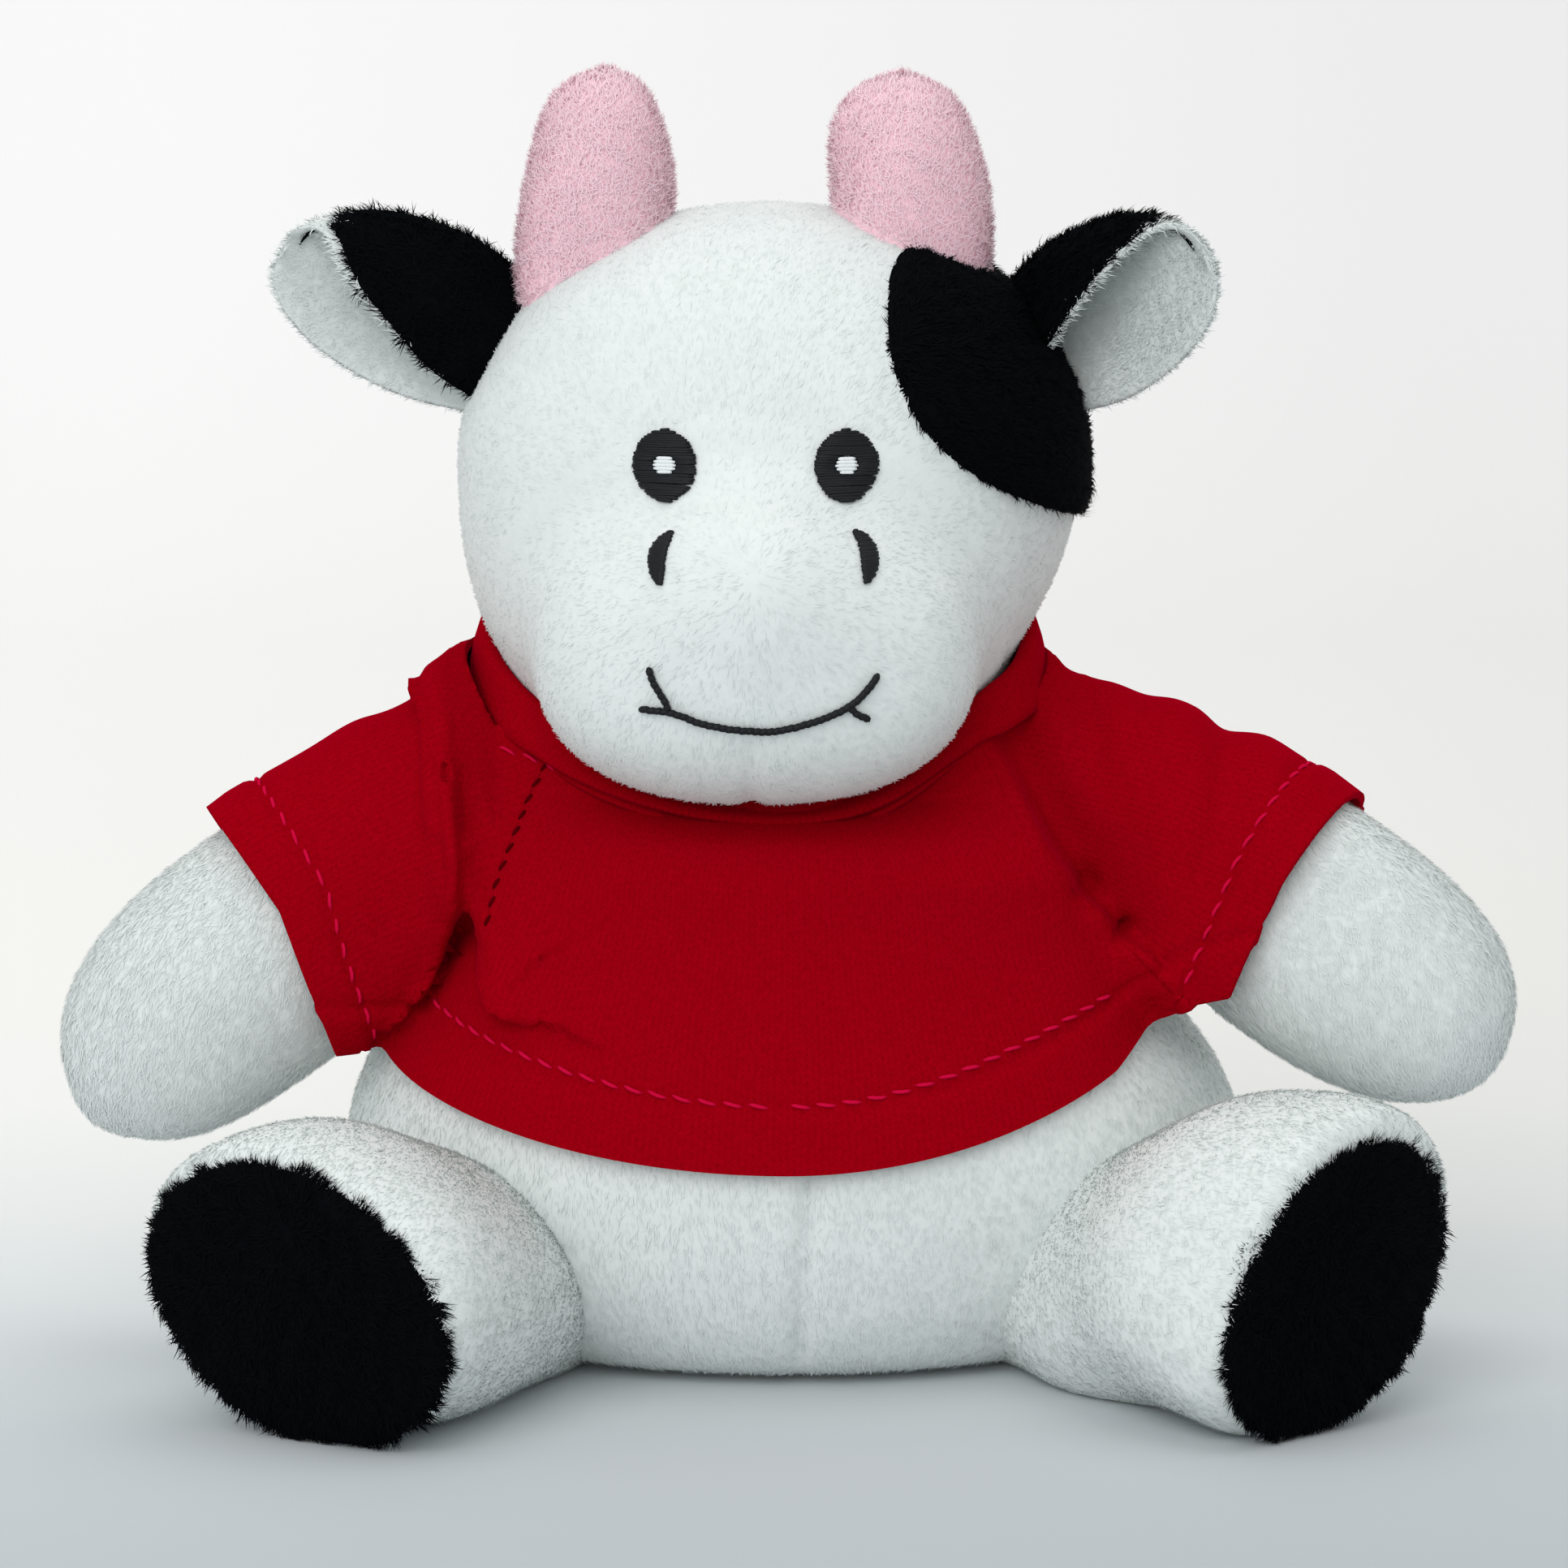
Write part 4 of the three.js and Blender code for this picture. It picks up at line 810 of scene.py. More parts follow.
def ear_grid(side, way, margin, foot, short=0.0):
    """A grid of points over the fold of an ear, a margin outside it."""
    root, along, front, up = ear_frame(side, way)
    run = smooth_rows(EAR_ROWS, 44)
    edges = smooth_rows([(i / 4, angle, 0) for i, angle in enumerate(EAR_EDGE[side])], 60)
    stop = np.radians(np.interp(np.clip(run[:, 0], 0, 1), edges[:, 0], edges[:, 1]))[:, None]
    start = math.radians(foot)
    turn = start + (stop - start) * np.linspace(0, 1, 40)[None]
    edge = 1 - np.exp(-np.minimum(turn - stop, start - turn) * 5)
    thick = margin * (0.35 + 0.65 * edge)
    deep = run[:, 2, None] * EAR_FOLD / 2 + thick
    high = run[:, 1, None] * EAR_WIDTH / 2 + thick
    return (
        root
        + (run[:, 0] * (EAR_LENGTH - short))[:, None, None] * along
        + (deep * np.cos(turn))[..., None] * front
        + (high * np.sin(turn))[..., None] * up
    )


for side, way in SIDES:
    outer, inner = (ear_grid(side, way, margin, EAR_BACK_FOOT, EAR_BACK_SHORT) for margin in (0.3, -1.0))
    back = sheet_between("ear_" + side + "_back", outer, inner, BLACK_PLUSH)
    outer, inner = (ear_grid(side, way, margin, EAR_FOOT) for margin in (-0.9, -2.4))
    lining = sheet_between("ear_" + side + "_lining", outer, inner, WHITE_PLUSH)
    root, along, front, up = ear_frame(side, way)

    def to_tip(points, along=along):
        return np.tile(along + (0, 0, -0.25), (len(points), 1))

    def over_foot(points, root=root, along=along, front=front, up=up):
        """Where the black pile grows: not near the ear's foot, and not at its tip."""
        off = points - root
        turn = np.arctan2(off @ up / EAR_WIDTH, off @ front / EAR_FOLD) % (2 * np.pi)
        kept = (turn < math.radians(EAR_FOOT - 42)) | (turn > math.radians(300))
        return kept & (off @ along < 0.84 * EAR_LENGTH)

    back_pile = grow_pile(
        "ear_" + side + "_back_pile", back, BLACK_HAIR, to_tip,
        count=15000, length=1.6, width=0.16, rise=30, seed=42 + way, spread=0.5, clump=0.7,
        where=over_foot,
    )
    lining_pile = grow_pile(
        "ear_" + side + "_lining_pile", lining, WHITE_HAIR, to_tip,
        count=18000, length=1.3, width=0.15, rise=30, seed=46 + way, spread=0.5,
    )
    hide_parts("ear_back_" + side)
    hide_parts("ear_lining_" + side)
    body = "ear_l" if way > 0 else "ear_r"
    for piece in (back, back_pile):
        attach(piece, body)
    for piece in (lining, lining_pile):
        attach(piece, body)

# Arms: stuffed tubes of white plush that hang out and down from the shoulders and end in a
# round hand.
SHOULDER_Z = 62.0
ARM_ROWS = [  # share of the length, of the thickness and of the depth
    (-0.12, 0.5, 0.6), (0.0, 0.72, 0.8), (0.2, 0.88, 0.88), (0.45, 1.0, 1.0), (0.66, 1.0, 1.0),
    (0.82, 0.86, 0.86), (0.92, 0.62, 0.62), (0.98, 0.3, 0.3), (1.0, 0.04, 0.04),
]
ARM_LENGTH = {1: 61.0, -1: 63.3}
ARM_THICK, ARM_DEEP = 29.5, 25.0
ARM_DROP = {1: 12.6, -1: 18.0}  # degrees under level at the shoulder
ARM_BEND = 32.0  # degrees that the arm bends down along its length
ARM_STEPS = 24
ARM_FORWARD = {1: 0.32, -1: 0.16}
SHOULDER_OUT = sizes_at(BODY_ROWS, SHOULDER_Z)[0] - 2
ARM_BODY = {1: "arm_l", -1: "arm_r"}
LIMB_INSET = 0.4  # the backing of an arm or a leg lies this far inside, under the pile


def shoulder(way):
    return np.array((BODY_X + way * SHOULDER_OUT, BODY_Y - 2.0, SHOULDER_Z))


def arm_line(way, share):
    """A point and the direction of the arm's bent middle line."""
    point = shoulder(way)
    for i in range(ARM_STEPS + 1):
        slope = math.radians(ARM_DROP[way] + ARM_BEND * i / ARM_STEPS * max(share, 0))
        direction = np.array((way * math.cos(slope), -ARM_FORWARD[way], -math.sin(slope)))
        direction /= np.linalg.norm(direction)
        if i:
            point = point + direction * ARM_LENGTH[way] * share / ARM_STEPS
    return point, direction


def arm_table(way):
    """Shares of the arm's length with the points and the directions there."""
    shares = np.linspace(-0.3, 1, 53)
    line = [arm_line(way, share) for share in shares]
    return shares, np.array([point for point, _ in line]), np.array([direction for _, direction in line])


ARM_TABLE = {way: arm_table(way) for way in (1, -1)}


def interpolated(places, known, values):
    """Points or directions between those that are known along a line."""
    return np.stack([np.interp(places, known, values[:, k]) for k in range(3)], 1)


def in_arm(way, points):
    """Share of the arm's length, and the two places across it, of each point."""
    shares, line, directions = ARM_TABLE[way]
    flat = points.reshape(-1, 3)
    share = np.full(len(flat), 0.2)
    for _ in range(4):
        at = interpolated(share, shares, line)
        direction = unit(interpolated(share, shares, directions))
        share = np.clip(share + ((flat - at) * direction).sum(1) / ARM_LENGTH[way], -0.3, 1)
    across = unit(np.cross((0, 1, 0), direction))
    deep = np.cross(direction, across)
    off = flat - at
    shape = points.shape[:-1]
    return share.reshape(shape), (off * across).sum(1).reshape(shape), (off * deep).sum(1).reshape(shape)


def arm_bend(way):
    """Where along the arm its bending starts and ends, in metres."""
    return arm_line(way, 0.12)[0] * 0.001, arm_line(way, 0.46)[0] * 0.001


def arm_sides(direction):
    """The two ways across an arm, from its direction."""
    across = np.cross((0, 1, 0), direction)
    across /= np.linalg.norm(across)
    return across, np.cross(direction, across)


def arm_rings(way):
    """Rings of points round an arm, a little inside its pile."""
    middles, across, deep = [], [], []
    for share, thick, depth in smooth_rows(ARM_ROWS, 64):
        point, direction = arm_line(way, share)
        one, other = arm_sides(direction)
        middles.append(point)
        across.append(one * (thick * ARM_THICK / 2 - LIMB_INSET))
        deep.append(other * (depth * ARM_DEEP / 2 - LIMB_INSET))
    return oval_rings(np.array(middles), np.array(across), np.array(deep), 80)


for side, way in SIDES:
    rings = arm_rings(way)
    flat = rings.reshape(-1, 3)
    rings = rings + (lumps(flat, 26, 0.4, 50 + way)[:, None] * (1, 1, 0.3)).reshape(rings.shape)
    arm = skin_over("arm_" + side + "_plush", rings, WHITE_PLUSH)
    hand = arm_line(way, 0.97)[0]

    def to_hand(points, hand=hand):
        return hand - points + (0, 0, -14)

    arm_pile = grow_pile(
        "arm_" + side + "_pile", arm, WHITE_HAIR, to_hand,
        count=60000, length=1.25, width=0.15, rise=24, seed=53 + way,
        where=lambda p, way=way: in_arm(way, p)[0] > 0.46,
    )
    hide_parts("arm_" + side)
    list(arm_bend(way))
    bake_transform(arm)
    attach(arm_pile, ARM_BODY[way])

# Legs: stuffed tubes of white plush that point forwards and out, each closed by an oval sole of
# black plush. The soles carry a longer pile that hangs over their seam.
HIP_OUT, HIP_BACK = 31.5, -20.0
LEG_LENGTH, LEG_SWELL = 44.5, 1.06
FOOT_LONG, FOOT_SHORT = 43.5, 31.0
FOOT_ROLL = {1: math.radians(52), -1: math.radians(70)}
FOOT_SINK = 0.5  # how far its weight flattens a foot on the floor
SPLAY = {1: math.radians(41), -1: math.radians(31)}
LEG_ROWS = [  # share of the length, of the foot's long half and of its short half
    (-0.1, 0.52, 0.62), (0.1, 0.62, 0.76), (0.35, 0.81, 0.93), (0.6, 0.95, 1.03), (0.82, 1.0, 1.035),
    (0.93, 0.985, 0.995), (0.98, 0.93, 0.93), (1.0, 0.84, 0.84),
]
LEG_SIDES = 96
SOLE_SIZE = {1: 0.90, -1: 0.96}
SOLE_DROP = {1: 2.2, -1: 1.4}
SOLE_ROWS = [  # how far it stands out, then the share of the foot's size
    (0.0, 0.86), (0.5, 0.95), (1.2, 0.955), (2.0, 0.9), (2.7, 0.78), (3.2, 0.58), (3.5, 0.3), (3.6, 0.02),
]
LEG_BODY = {1: "leg_l", -1: "leg_r"}


def leg_frame(way):
    """The hip, the way the leg points, and the foot's long and short ways."""
    splay, roll = SPLAY[way], FOOT_ROLL[way]
    direction = np.array((way * math.sin(splay), -math.cos(splay), 0.0))
    level = np.array((way * math.cos(splay), math.sin(splay), 0.0))
    long = level * math.sin(roll) + np.array((0, 0, math.cos(roll)))
    short = level * math.cos(roll) - np.array((0, 0, math.sin(roll)))
    reach = math.hypot(FOOT_LONG * math.cos(roll), LEG_SWELL * FOOT_SHORT * math.sin(roll)) / 2
    hip = np.array((BODY_X + way * HIP_OUT, BODY_Y + HIP_BACK, reach - FOOT_SINK))
    return hip, direction, long, short * way


def leg_rings(way, run, drop, grow=0.0):
    """Rings of points round a leg, which hangs lower towards the hip by a drop."""
    hip, direction, long, short = leg_frame(way)
    return oval_rings(
        hip + run[:, 0, None] * direction - np.multiply.outer(drop, (0, 0, 1)),
        (run[:, 2, None] * FOOT_SHORT / 2 + grow) * short,
        (run[:, 1, None] * FOOT_LONG / 2 + grow) * long,
        LEG_SIDES,
    )


for side, way in SIDES:
    hip, direction, long, short = leg_frame(way)
    run = smooth_rows(LEG_ROWS, 60) * (LEG_LENGTH, 1, 1)
    drop = (hip[2] + FOOT_SINK) * np.clip(1 - run[:, 1], 0, 1) * (run[:, 0] < 0.9 * LEG_LENGTH)
    rings = leg_rings(way, run, drop, -LIMB_INSET)
    flat = rings.reshape(-1, 3)
    outwards = unit(flat - np.repeat(rings.mean(1), LEG_SIDES, 0))
    flat = flat + outwards * lumps(flat, 24, 0.5, 60 + way)[:, None]
    flat[:, 2] = np.maximum(flat[:, 2], 0.15 + 0.02 * np.minimum(flat[:, 2], 0))
    leg = skin_over("leg_" + side + "_plush", flat.reshape(rings.shape), WHITE_PLUSH)

    def to_foot(points, direction=direction):
        return np.tile(direction + (0, 0, -0.35), (len(points), 1))

    leg_pile = grow_pile(
        "leg_" + side + "_pile", leg, WHITE_HAIR, to_foot,
        count=40000, length=1.15, width=0.15, rise=24, seed=63 + way,
        where=lambda p: p[:, 2] > 0.5,
    )
    sole_rows = [(out, wide * SOLE_SIZE[way], wide * SOLE_SIZE[way]) for out, wide in SOLE_ROWS]
    sole_run = smooth_rows(sole_rows, 30)
    sole_run[:, 0] = sole_run[:, 0] * 0.8 + LEG_LENGTH - 0.7
    rings = leg_rings(way, sole_run, np.full(30, SOLE_DROP[way]))
    flat = rings.reshape(-1, 3)
    flat = flat + direction * lumps(flat, 22, 0.5, 66 + way)[:, None]
    flat[:, 2] = np.maximum(flat[:, 2], 0.3)
    sole = skin_over("sole_" + side + "_plush", flat.reshape(rings.shape), BLACK_PLUSH)
    centre = hip + direction * LEG_LENGTH

    def outwards_and_down(points, centre=centre):
        return (points - centre) * 0.09 + (0, 0, -0.6)

    sole_pile = grow_pile(
        "sole_" + side + "_pile", sole, BLACK_HAIR, outwards_and_down,
        count=34000, length=1.6, width=0.17, rise=24, seed=70 + way, spread=0.45, clump=0.8,
        where=lambda p: p[:, 2] > 0.9,
    )
    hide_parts("leg_" + side)
    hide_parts("sole_" + side)
    for piece in (leg, leg_pile):
        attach(piece, LEG_BODY[way])
    for piece in (sole, sole_pile):
        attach(piece, LEG_BODY[way])

# Tail: a thin stuffed tube of white plush with a tuft of black plush at its end. It is sewn into
# the back of the body, over the seat.
TAIL_Z = 17.0
TAIL_LENGTH, TAIL_THICK = 20.0, 5.0
TUFT_LENGTH, TUFT_THICK = 13.0, 8.5
tail_root = np.array((BODY_X, BODY_Y + sizes_at(BODY_ROWS, TAIL_Z)[1] - TAIL_THICK / 4, TAIL_Z))
TAIL_WAY = np.array([(0, 0, 0), (0.1, 0.25, -0.12), (0.5, 0.38, -0.36), (0.95, 0.34, -0.52)])
tail_line = smooth_rows(tail_root + TAIL_LENGTH * TAIL_WAY, 60)


def rings_along(line, widths, sides):
    """Round rings of points along a line."""
    direction = unit(np.gradient(line, axis=0))
    aside = unit(np.cross((0, 0, 1), direction))
    above = np.cross(direction, aside)
    return oval_rings(line, aside * widths[:, None] / 2, above * widths[:, None] / 2, sides)


tail_widths = TAIL_THICK * np.interp(np.linspace(0, 1, 60), (0, 0.1, 1), (0.8, 1, 0.95))
tail = skin_over("tail_plush", rings_along(tail_line, tail_widths, 24), WHITE_PLUSH)
tail_end = tail_line[-1] - tail_line[-2]
tail_end /= np.linalg.norm(tail_end)
tuft_line = tail_line[-1] + np.linspace(-0.3, TUFT_LENGTH, 40)[:, None] * tail_end
tuft_rows = smooth_rows([(0, 0.5), (0.15, 0.85), (0.4, 1.0), (0.65, 0.9), (0.85, 0.62), (1.0, 0.1)], 40)
tuft = skin_over("tuft_plush", rings_along(tuft_line, TUFT_THICK * tuft_rows[:, 1] * 0.86, 30), BLACK_PLUSH)


def to_tail_end(points):
    return np.tile(tail_end, (len(points), 1))


tail_pile = grow_pile(
    "tail_pile", tail, WHITE_HAIR, to_tail_end, count=3500, length=1.2, width=0.15, rise=24, seed=81
)
tuft_pile = grow_pile(
    "tuft_pile", tuft, BLACK_HAIR, to_tail_end, count=6000, length=2.6, width=0.17, rise=20, seed=82,
    where=lambda p: p[:, 2] > 0.8,
)
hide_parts("tail")
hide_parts("tail_tuft")
for piece, slot in (
    (tail, "white_plush"), (tail_pile, "white_plush"), (tuft, "black_plush"), (tuft_pile, "black_plush"),
):
    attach(piece, "tail_body")

# T-shirt: red cotton jersey with a front, a back and two raglan sleeves, cut wide and pulled
# over the arms. Hem and cuffs are turned in and stitched. The cloth is bunched at the shoulders.
NECK_FRONT, NECK_BACK = 64.5, 88.0
NECK_REACH = 27.9
NECK_X = -3.0
NECK_HALF = (33.2, 28.4)
SHIRT_OUT = 1.4
SHIRT_ROWS = [  # height, half width, half depth of what the shirt's body lies on
    (10.0, 49.3, 39.6), (15.2, 51.4, 41.2), (23.8, 53.0, 42.0), (32.5, 50.6, 40.3), (40.3, 45.8, 37.8),
    (49.0, 41.1, 34.4), (54.0, 39.2, 32.9), (60.0, 37.6, 31.8), (66.0, 33.8, 29.6), (71.0, 31.6, 27.4),
    (81.1, 31.8, 27.2), (94.0, 31.8, 27.2),
]
SLEEVE_LENGTH = 31.0
SLEEVE_EASE = 1.4
SEAM_X = {  # height, then how far the raglan seam stands to the side, for each side of the toy
    -1: [
        (38.0, 37.5), (44.0, 36.4), (49.5, 34.6), (57.0, 32.9),
        (66.3, 29.2), (72.5, 25.8), (78.0, 23.0), (92.0, 18.0),
    ],
    1: [
        (38.0, 46.0), (44.0, 44.5), (48.5, 40.1), (55.1, 33.7),
        (58.8, 30.0), (66.3, 25.3), (74.7, 21.2), (92.0, 17.0),
    ],
}
FOLDS = [  # the line of each fold from the front, its height, and its width on the left and on the right
    ([(-44.4, 83), (-42.8, 78.1), (-40.7, 74.5), (-39.7, 70.1), (-39.2, 64)], 2.4, 1.0, 7.0),
    (
        [(-40.0, 69), (-39.6, 62), (-39.4, 59.3), (-39.4, 53.5), (-40.3, 48.4), (-41.8, 44.8), (-45.9, 39.8)],
        3.2, 6.0, 1.1,
    ),
    ([(-43.0, 79), (-41.4, 74.5), (-40.3, 69), (-39.4, 62), (-38.9, 57)], -1.1, 0.9, 0.9),
    ([(-38.0, 71), (-37.2, 64), (-36.6, 56), (-36.9, 51.5)], 2.4, 2.6, 3.0),
    ([(-36.8, 50.5), (-36.8, 49.5), (-37.4, 46.5), (-38.6, 44)], -4.2, 1.6, 1.8),
    ([(-34.6, 60), (-33.8, 52), (-34.0, 47.5), (-32.8, 44.2), (-29.0, 42.8)], 3.6, 1.2, 8.0),
    ([(-52, 80), (-50, 70), (-46, 58)], 0.5, 4.0, 3.0),
    (
        [(22.5, 73), (26.5, 66), (29.3, 60.8), (32.9, 55.8), (37.2, 51.0), (41.5, 47.1), (44.5, 44.8)],
        2.4, 9.0, 1.1,
    ),
    ([(25.4, 74), (29.0, 66), (31.8, 61), (35.0, 56.8), (39.0, 52.2)], -3.2, 1.2, 4.5),
    ([(33.0, 78), (35.0, 74), (36.8, 66)], -0.7, 2.4, 2.0),
    ([(38.5, 80), (39.4, 75), (41.0, 66)], 0.7, 2.4, 3.0),
    ([(34.2, 56.6), (35.0, 54.8)], -3.0, 1.3, 1.3),
    ([(38.4, 51.6), (39.6, 50.2)], -3.0, 1.3, 1.3),
    ([(45.4, 78), (45.6, 74), (45.0, 66), (43.0, 57)], 0.8, 2.6, 3.4),
    ([(51.0, 77), (51.2, 72), (50.0, 63), (46.0, 52)], -0.8, 1.8, 2.4),
    ([(56.5, 75), (56.6, 69), (54.5, 59)], 0.4, 2.0, 2.4),
    ([(-24, 60), (-12, 52), (4, 50)], -0.4, 5.0, 5.0),
    ([(28, 48), (16, 43), (2, 43)], -0.4, 5.0, 5.0),
]
FOLD_LEAN = 0.5  # how far the steep side of a fold hangs over, to its height
HEM_BAND, CUFF_BAND = 6.6, 5.8
CLOTH_THICK = 0.9
CLOTH_GAP = 1.1  # from the body's or the arm's form to the outer side of cloth that lies tight on it


def shirt_middle(height):
    """Where the middle of the shirt's body stands, which shifts towards the neck."""
    lean = np.clip((height - 56) / 25.1, 0, 1)
    return BODY_X + (NECK_X - BODY_X) * lean * lean * (3 - 2 * lean)


def shirt_sizes(height, front):
    """Half width and half depth of the shirt's body, which is tucked back under the chin."""
    wide, deep = sizes_at(SHIRT_ROWS, height)
    tuck = 5.0 * np.clip((height - 57) / 9, 0, 1) ** 1.5 * np.clip(front * 2, 0, 1)
    tuck += 2.8 * np.clip((height - 61.5) / 3, 0, 1.5) ** 2 * np.clip(front * 2.4 - 1.4, 0, 1)
    return wide + SHIRT_OUT, deep + SHIRT_OUT - tuck * np.clip(1 - (height - 68) / 10, 0, 1)


def torso_field(points):
    """About how far each point lies outside the shirt's body, without its folds."""
    x, y, z = points[..., 0], points[..., 1], points[..., 2]
    wide, deep = shirt_sizes(z, np.clip((BODY_Y - y) / 28, 0, 1))
    near = np.hypot((x - shirt_middle(z)) / wide, (y - BODY_Y) / deep)
    return (near - 1) * np.minimum(wide, deep)


def to_cuff(way, share, a):
    """Distance up the sleeve from the edge of its cuff, which hangs lower under one of the arms."""
    hang = (4.8 if way < 0 else 1.6) * np.clip((4 + way * a) / 19, 0, 1)
    return SLEEVE_LENGTH + hang - share * ARM_LENGTH[way]


def turned_in(distance, band):
    """The height of a turned-in and stitched edge over the single cloth."""
    doubled = 0.35 / (1 + np.exp((distance - band + 0.5) / 0.25))
    return doubled - 0.4 * np.exp(-(((distance - band) / 0.6) ** 2))


def sleeve_field(way, points):
    """About how far each point lies outside the sleeve, and outside the bare arm."""
    share, a, b = in_arm(way, points)
    out = np.clip(share * ARM_LENGTH[way] / SLEEVE_LENGTH, 0, 1.4)
    turn = np.arctan2(b, a)
    flare = 0.6 * np.clip((out - 0.72) / 0.3, 0, 1) * np.sin(3 * turn + (1.2 if way > 0 else 2.6))
    loose = SHIRT_OUT - 0.5 + SLEEVE_EASE + flare + turned_in(to_cuff(way, share, a), CUFF_BAND)
    loose += 3.4 * np.clip(a / 14, 0, 1) - 0.6 * np.clip(-a / 14, 0, 1) if way > 0 else 0
    rows = np.asarray(ARM_ROWS[:7])  # without the hand
    bare_thick = np.interp(share, rows[:, 0], rows[:, 1]) * ARM_THICK / 2
    bare_depth = np.interp(share, rows[:, 0], rows[:, 2]) * ARM_DEEP / 2
    thick = bare_thick + loose + 3 * np.clip(1 - out, 0, 1)
    depth = bare_depth + loose + 1.2 * np.clip(1 - out, 0, 1)
    beyond = np.maximum(-share * ARM_LENGTH[way] - 10, 0)
    sleeve = (np.hypot(a / thick, b / depth) - 1) * np.minimum(thick, depth) + beyond
    arm = (np.hypot(a / bare_thick, b / bare_depth) - 1) * np.minimum(bare_thick, bare_depth) + beyond
    return sleeve, arm


def line_distance(x, z, line):
    """Distance from a line of points, signed by its side, and the share of the line reached."""
    line = np.asarray(line, float)
    best = np.full(x.shape, 1e9)
    side, reached = np.zeros(x.shape), np.zeros(x.shape)
    for k, (start, end) in enumerate(zip(line[:-1], line[1:])):
        way = end - start
        t = np.clip(((x - start[0]) * way[0] + (z - start[1]) * way[1]) / (way @ way), 0, 1)
        dx, dz = x - start[0] - t * way[0], z - start[1] - t * way[1]
        far = np.hypot(dx, dz)
        nearer = far < best
        best = np.where(nearer, far, best)
        side = np.where(nearer, np.sign(dx * way[1] - dz * way[0]), side)
        reached = np.where(nearer, (k + t) / (len(line) - 1), reached)
    return best * side, reached


def fold_height(points, out):
    """How far the folds raise the cloth of the front, for points that far out of it."""
    x, y, z = points[..., 0], points[..., 1], points[..., 2]
    facing = np.clip((BODY_Y + 9 - y) / 14, 0, 1)
    total = np.zeros(x.shape)
    for line, height, left, right in FOLDS:
        off, reached = line_distance(x, z, line)
        off -= FOLD_LEAN * np.clip(out, -1, 3) * np.sign(right - left) * (height > 1.5)
        fade = np.sin(np.pi * np.clip(0.08 + 0.84 * reached, 0, 1)) ** 0.6
        total += height * fade * np.exp(-((off / np.where(off > 0, left, right)) ** 2))
    return total * facing


def under_neck(points, down=0.0, shoulders=True):
    """Height under the neckline, which rises to the back; over the shoulders it follows the neck's side."""
    x, y = points[..., 0], points[..., 1]
    share = np.clip(0.5 + (y - BODY_Y) / (2 * NECK_REACH), 0, 1)
    edge = NECK_FRONT + (NECK_BACK - NECK_FRONT) * np.sin(share * np.pi / 2)
    if shoulders:
        round_neck = np.hypot((x - NECK_X) / NECK_HALF[0], (y - BODY_Y) / NECK_HALF[1])
        edge = edge + 4 * np.clip(round_neck * 30 - 30.5, 0, 20) * np.clip((y - BODY_Y + 20) / 8, 0, 1)
    cheek = 3.0 * np.exp(-(((x - 21) / 9) ** 2)) * np.clip((BODY_Y - y) / 12, 0, 1)
    return edge + cheek - down * np.clip((y + 24) / 14, 0, 1) - points[..., 2]


def shirt_field(points):
    """About how far each point lies outside the whole shirt, with its sleeves, folds and hem."""
    torso = torso_field(points)
    beside = np.abs(points[..., 0] - NECK_X)
    neck = np.clip((under_neck(points, shoulders=False) + 1.3 * np.clip(beside - 30, 0, 20)) / 7, 0, 1)
    soft = (2.2 + 8.0 * np.clip((points[..., 2] - 50) / 18, 0, 1)) * (0.1 + 0.9 * neck)
    whole = torso
    skin = upright_field(points, BODY_ROWS, BODY_X, BODY_Y)
    for way in (1, -1):
        near = (points[..., 0] * way > 4) & (torso < 60)
        sleeve, arm = np.full(torso.shape, 60.0), np.full(torso.shape, 60.0)
        sleeve[near], arm[near] = sleeve_field(way, points[near])
        whole = joined(whole, sleeve, soft)
        skin = np.minimum(skin, arm)
    whole -= fold_height(points, whole) * (0.15 + 0.85 * neck) + turned_in(over_hem(points), HEM_BAND)
    return np.minimum(whole, skin - CLOTH_GAP)


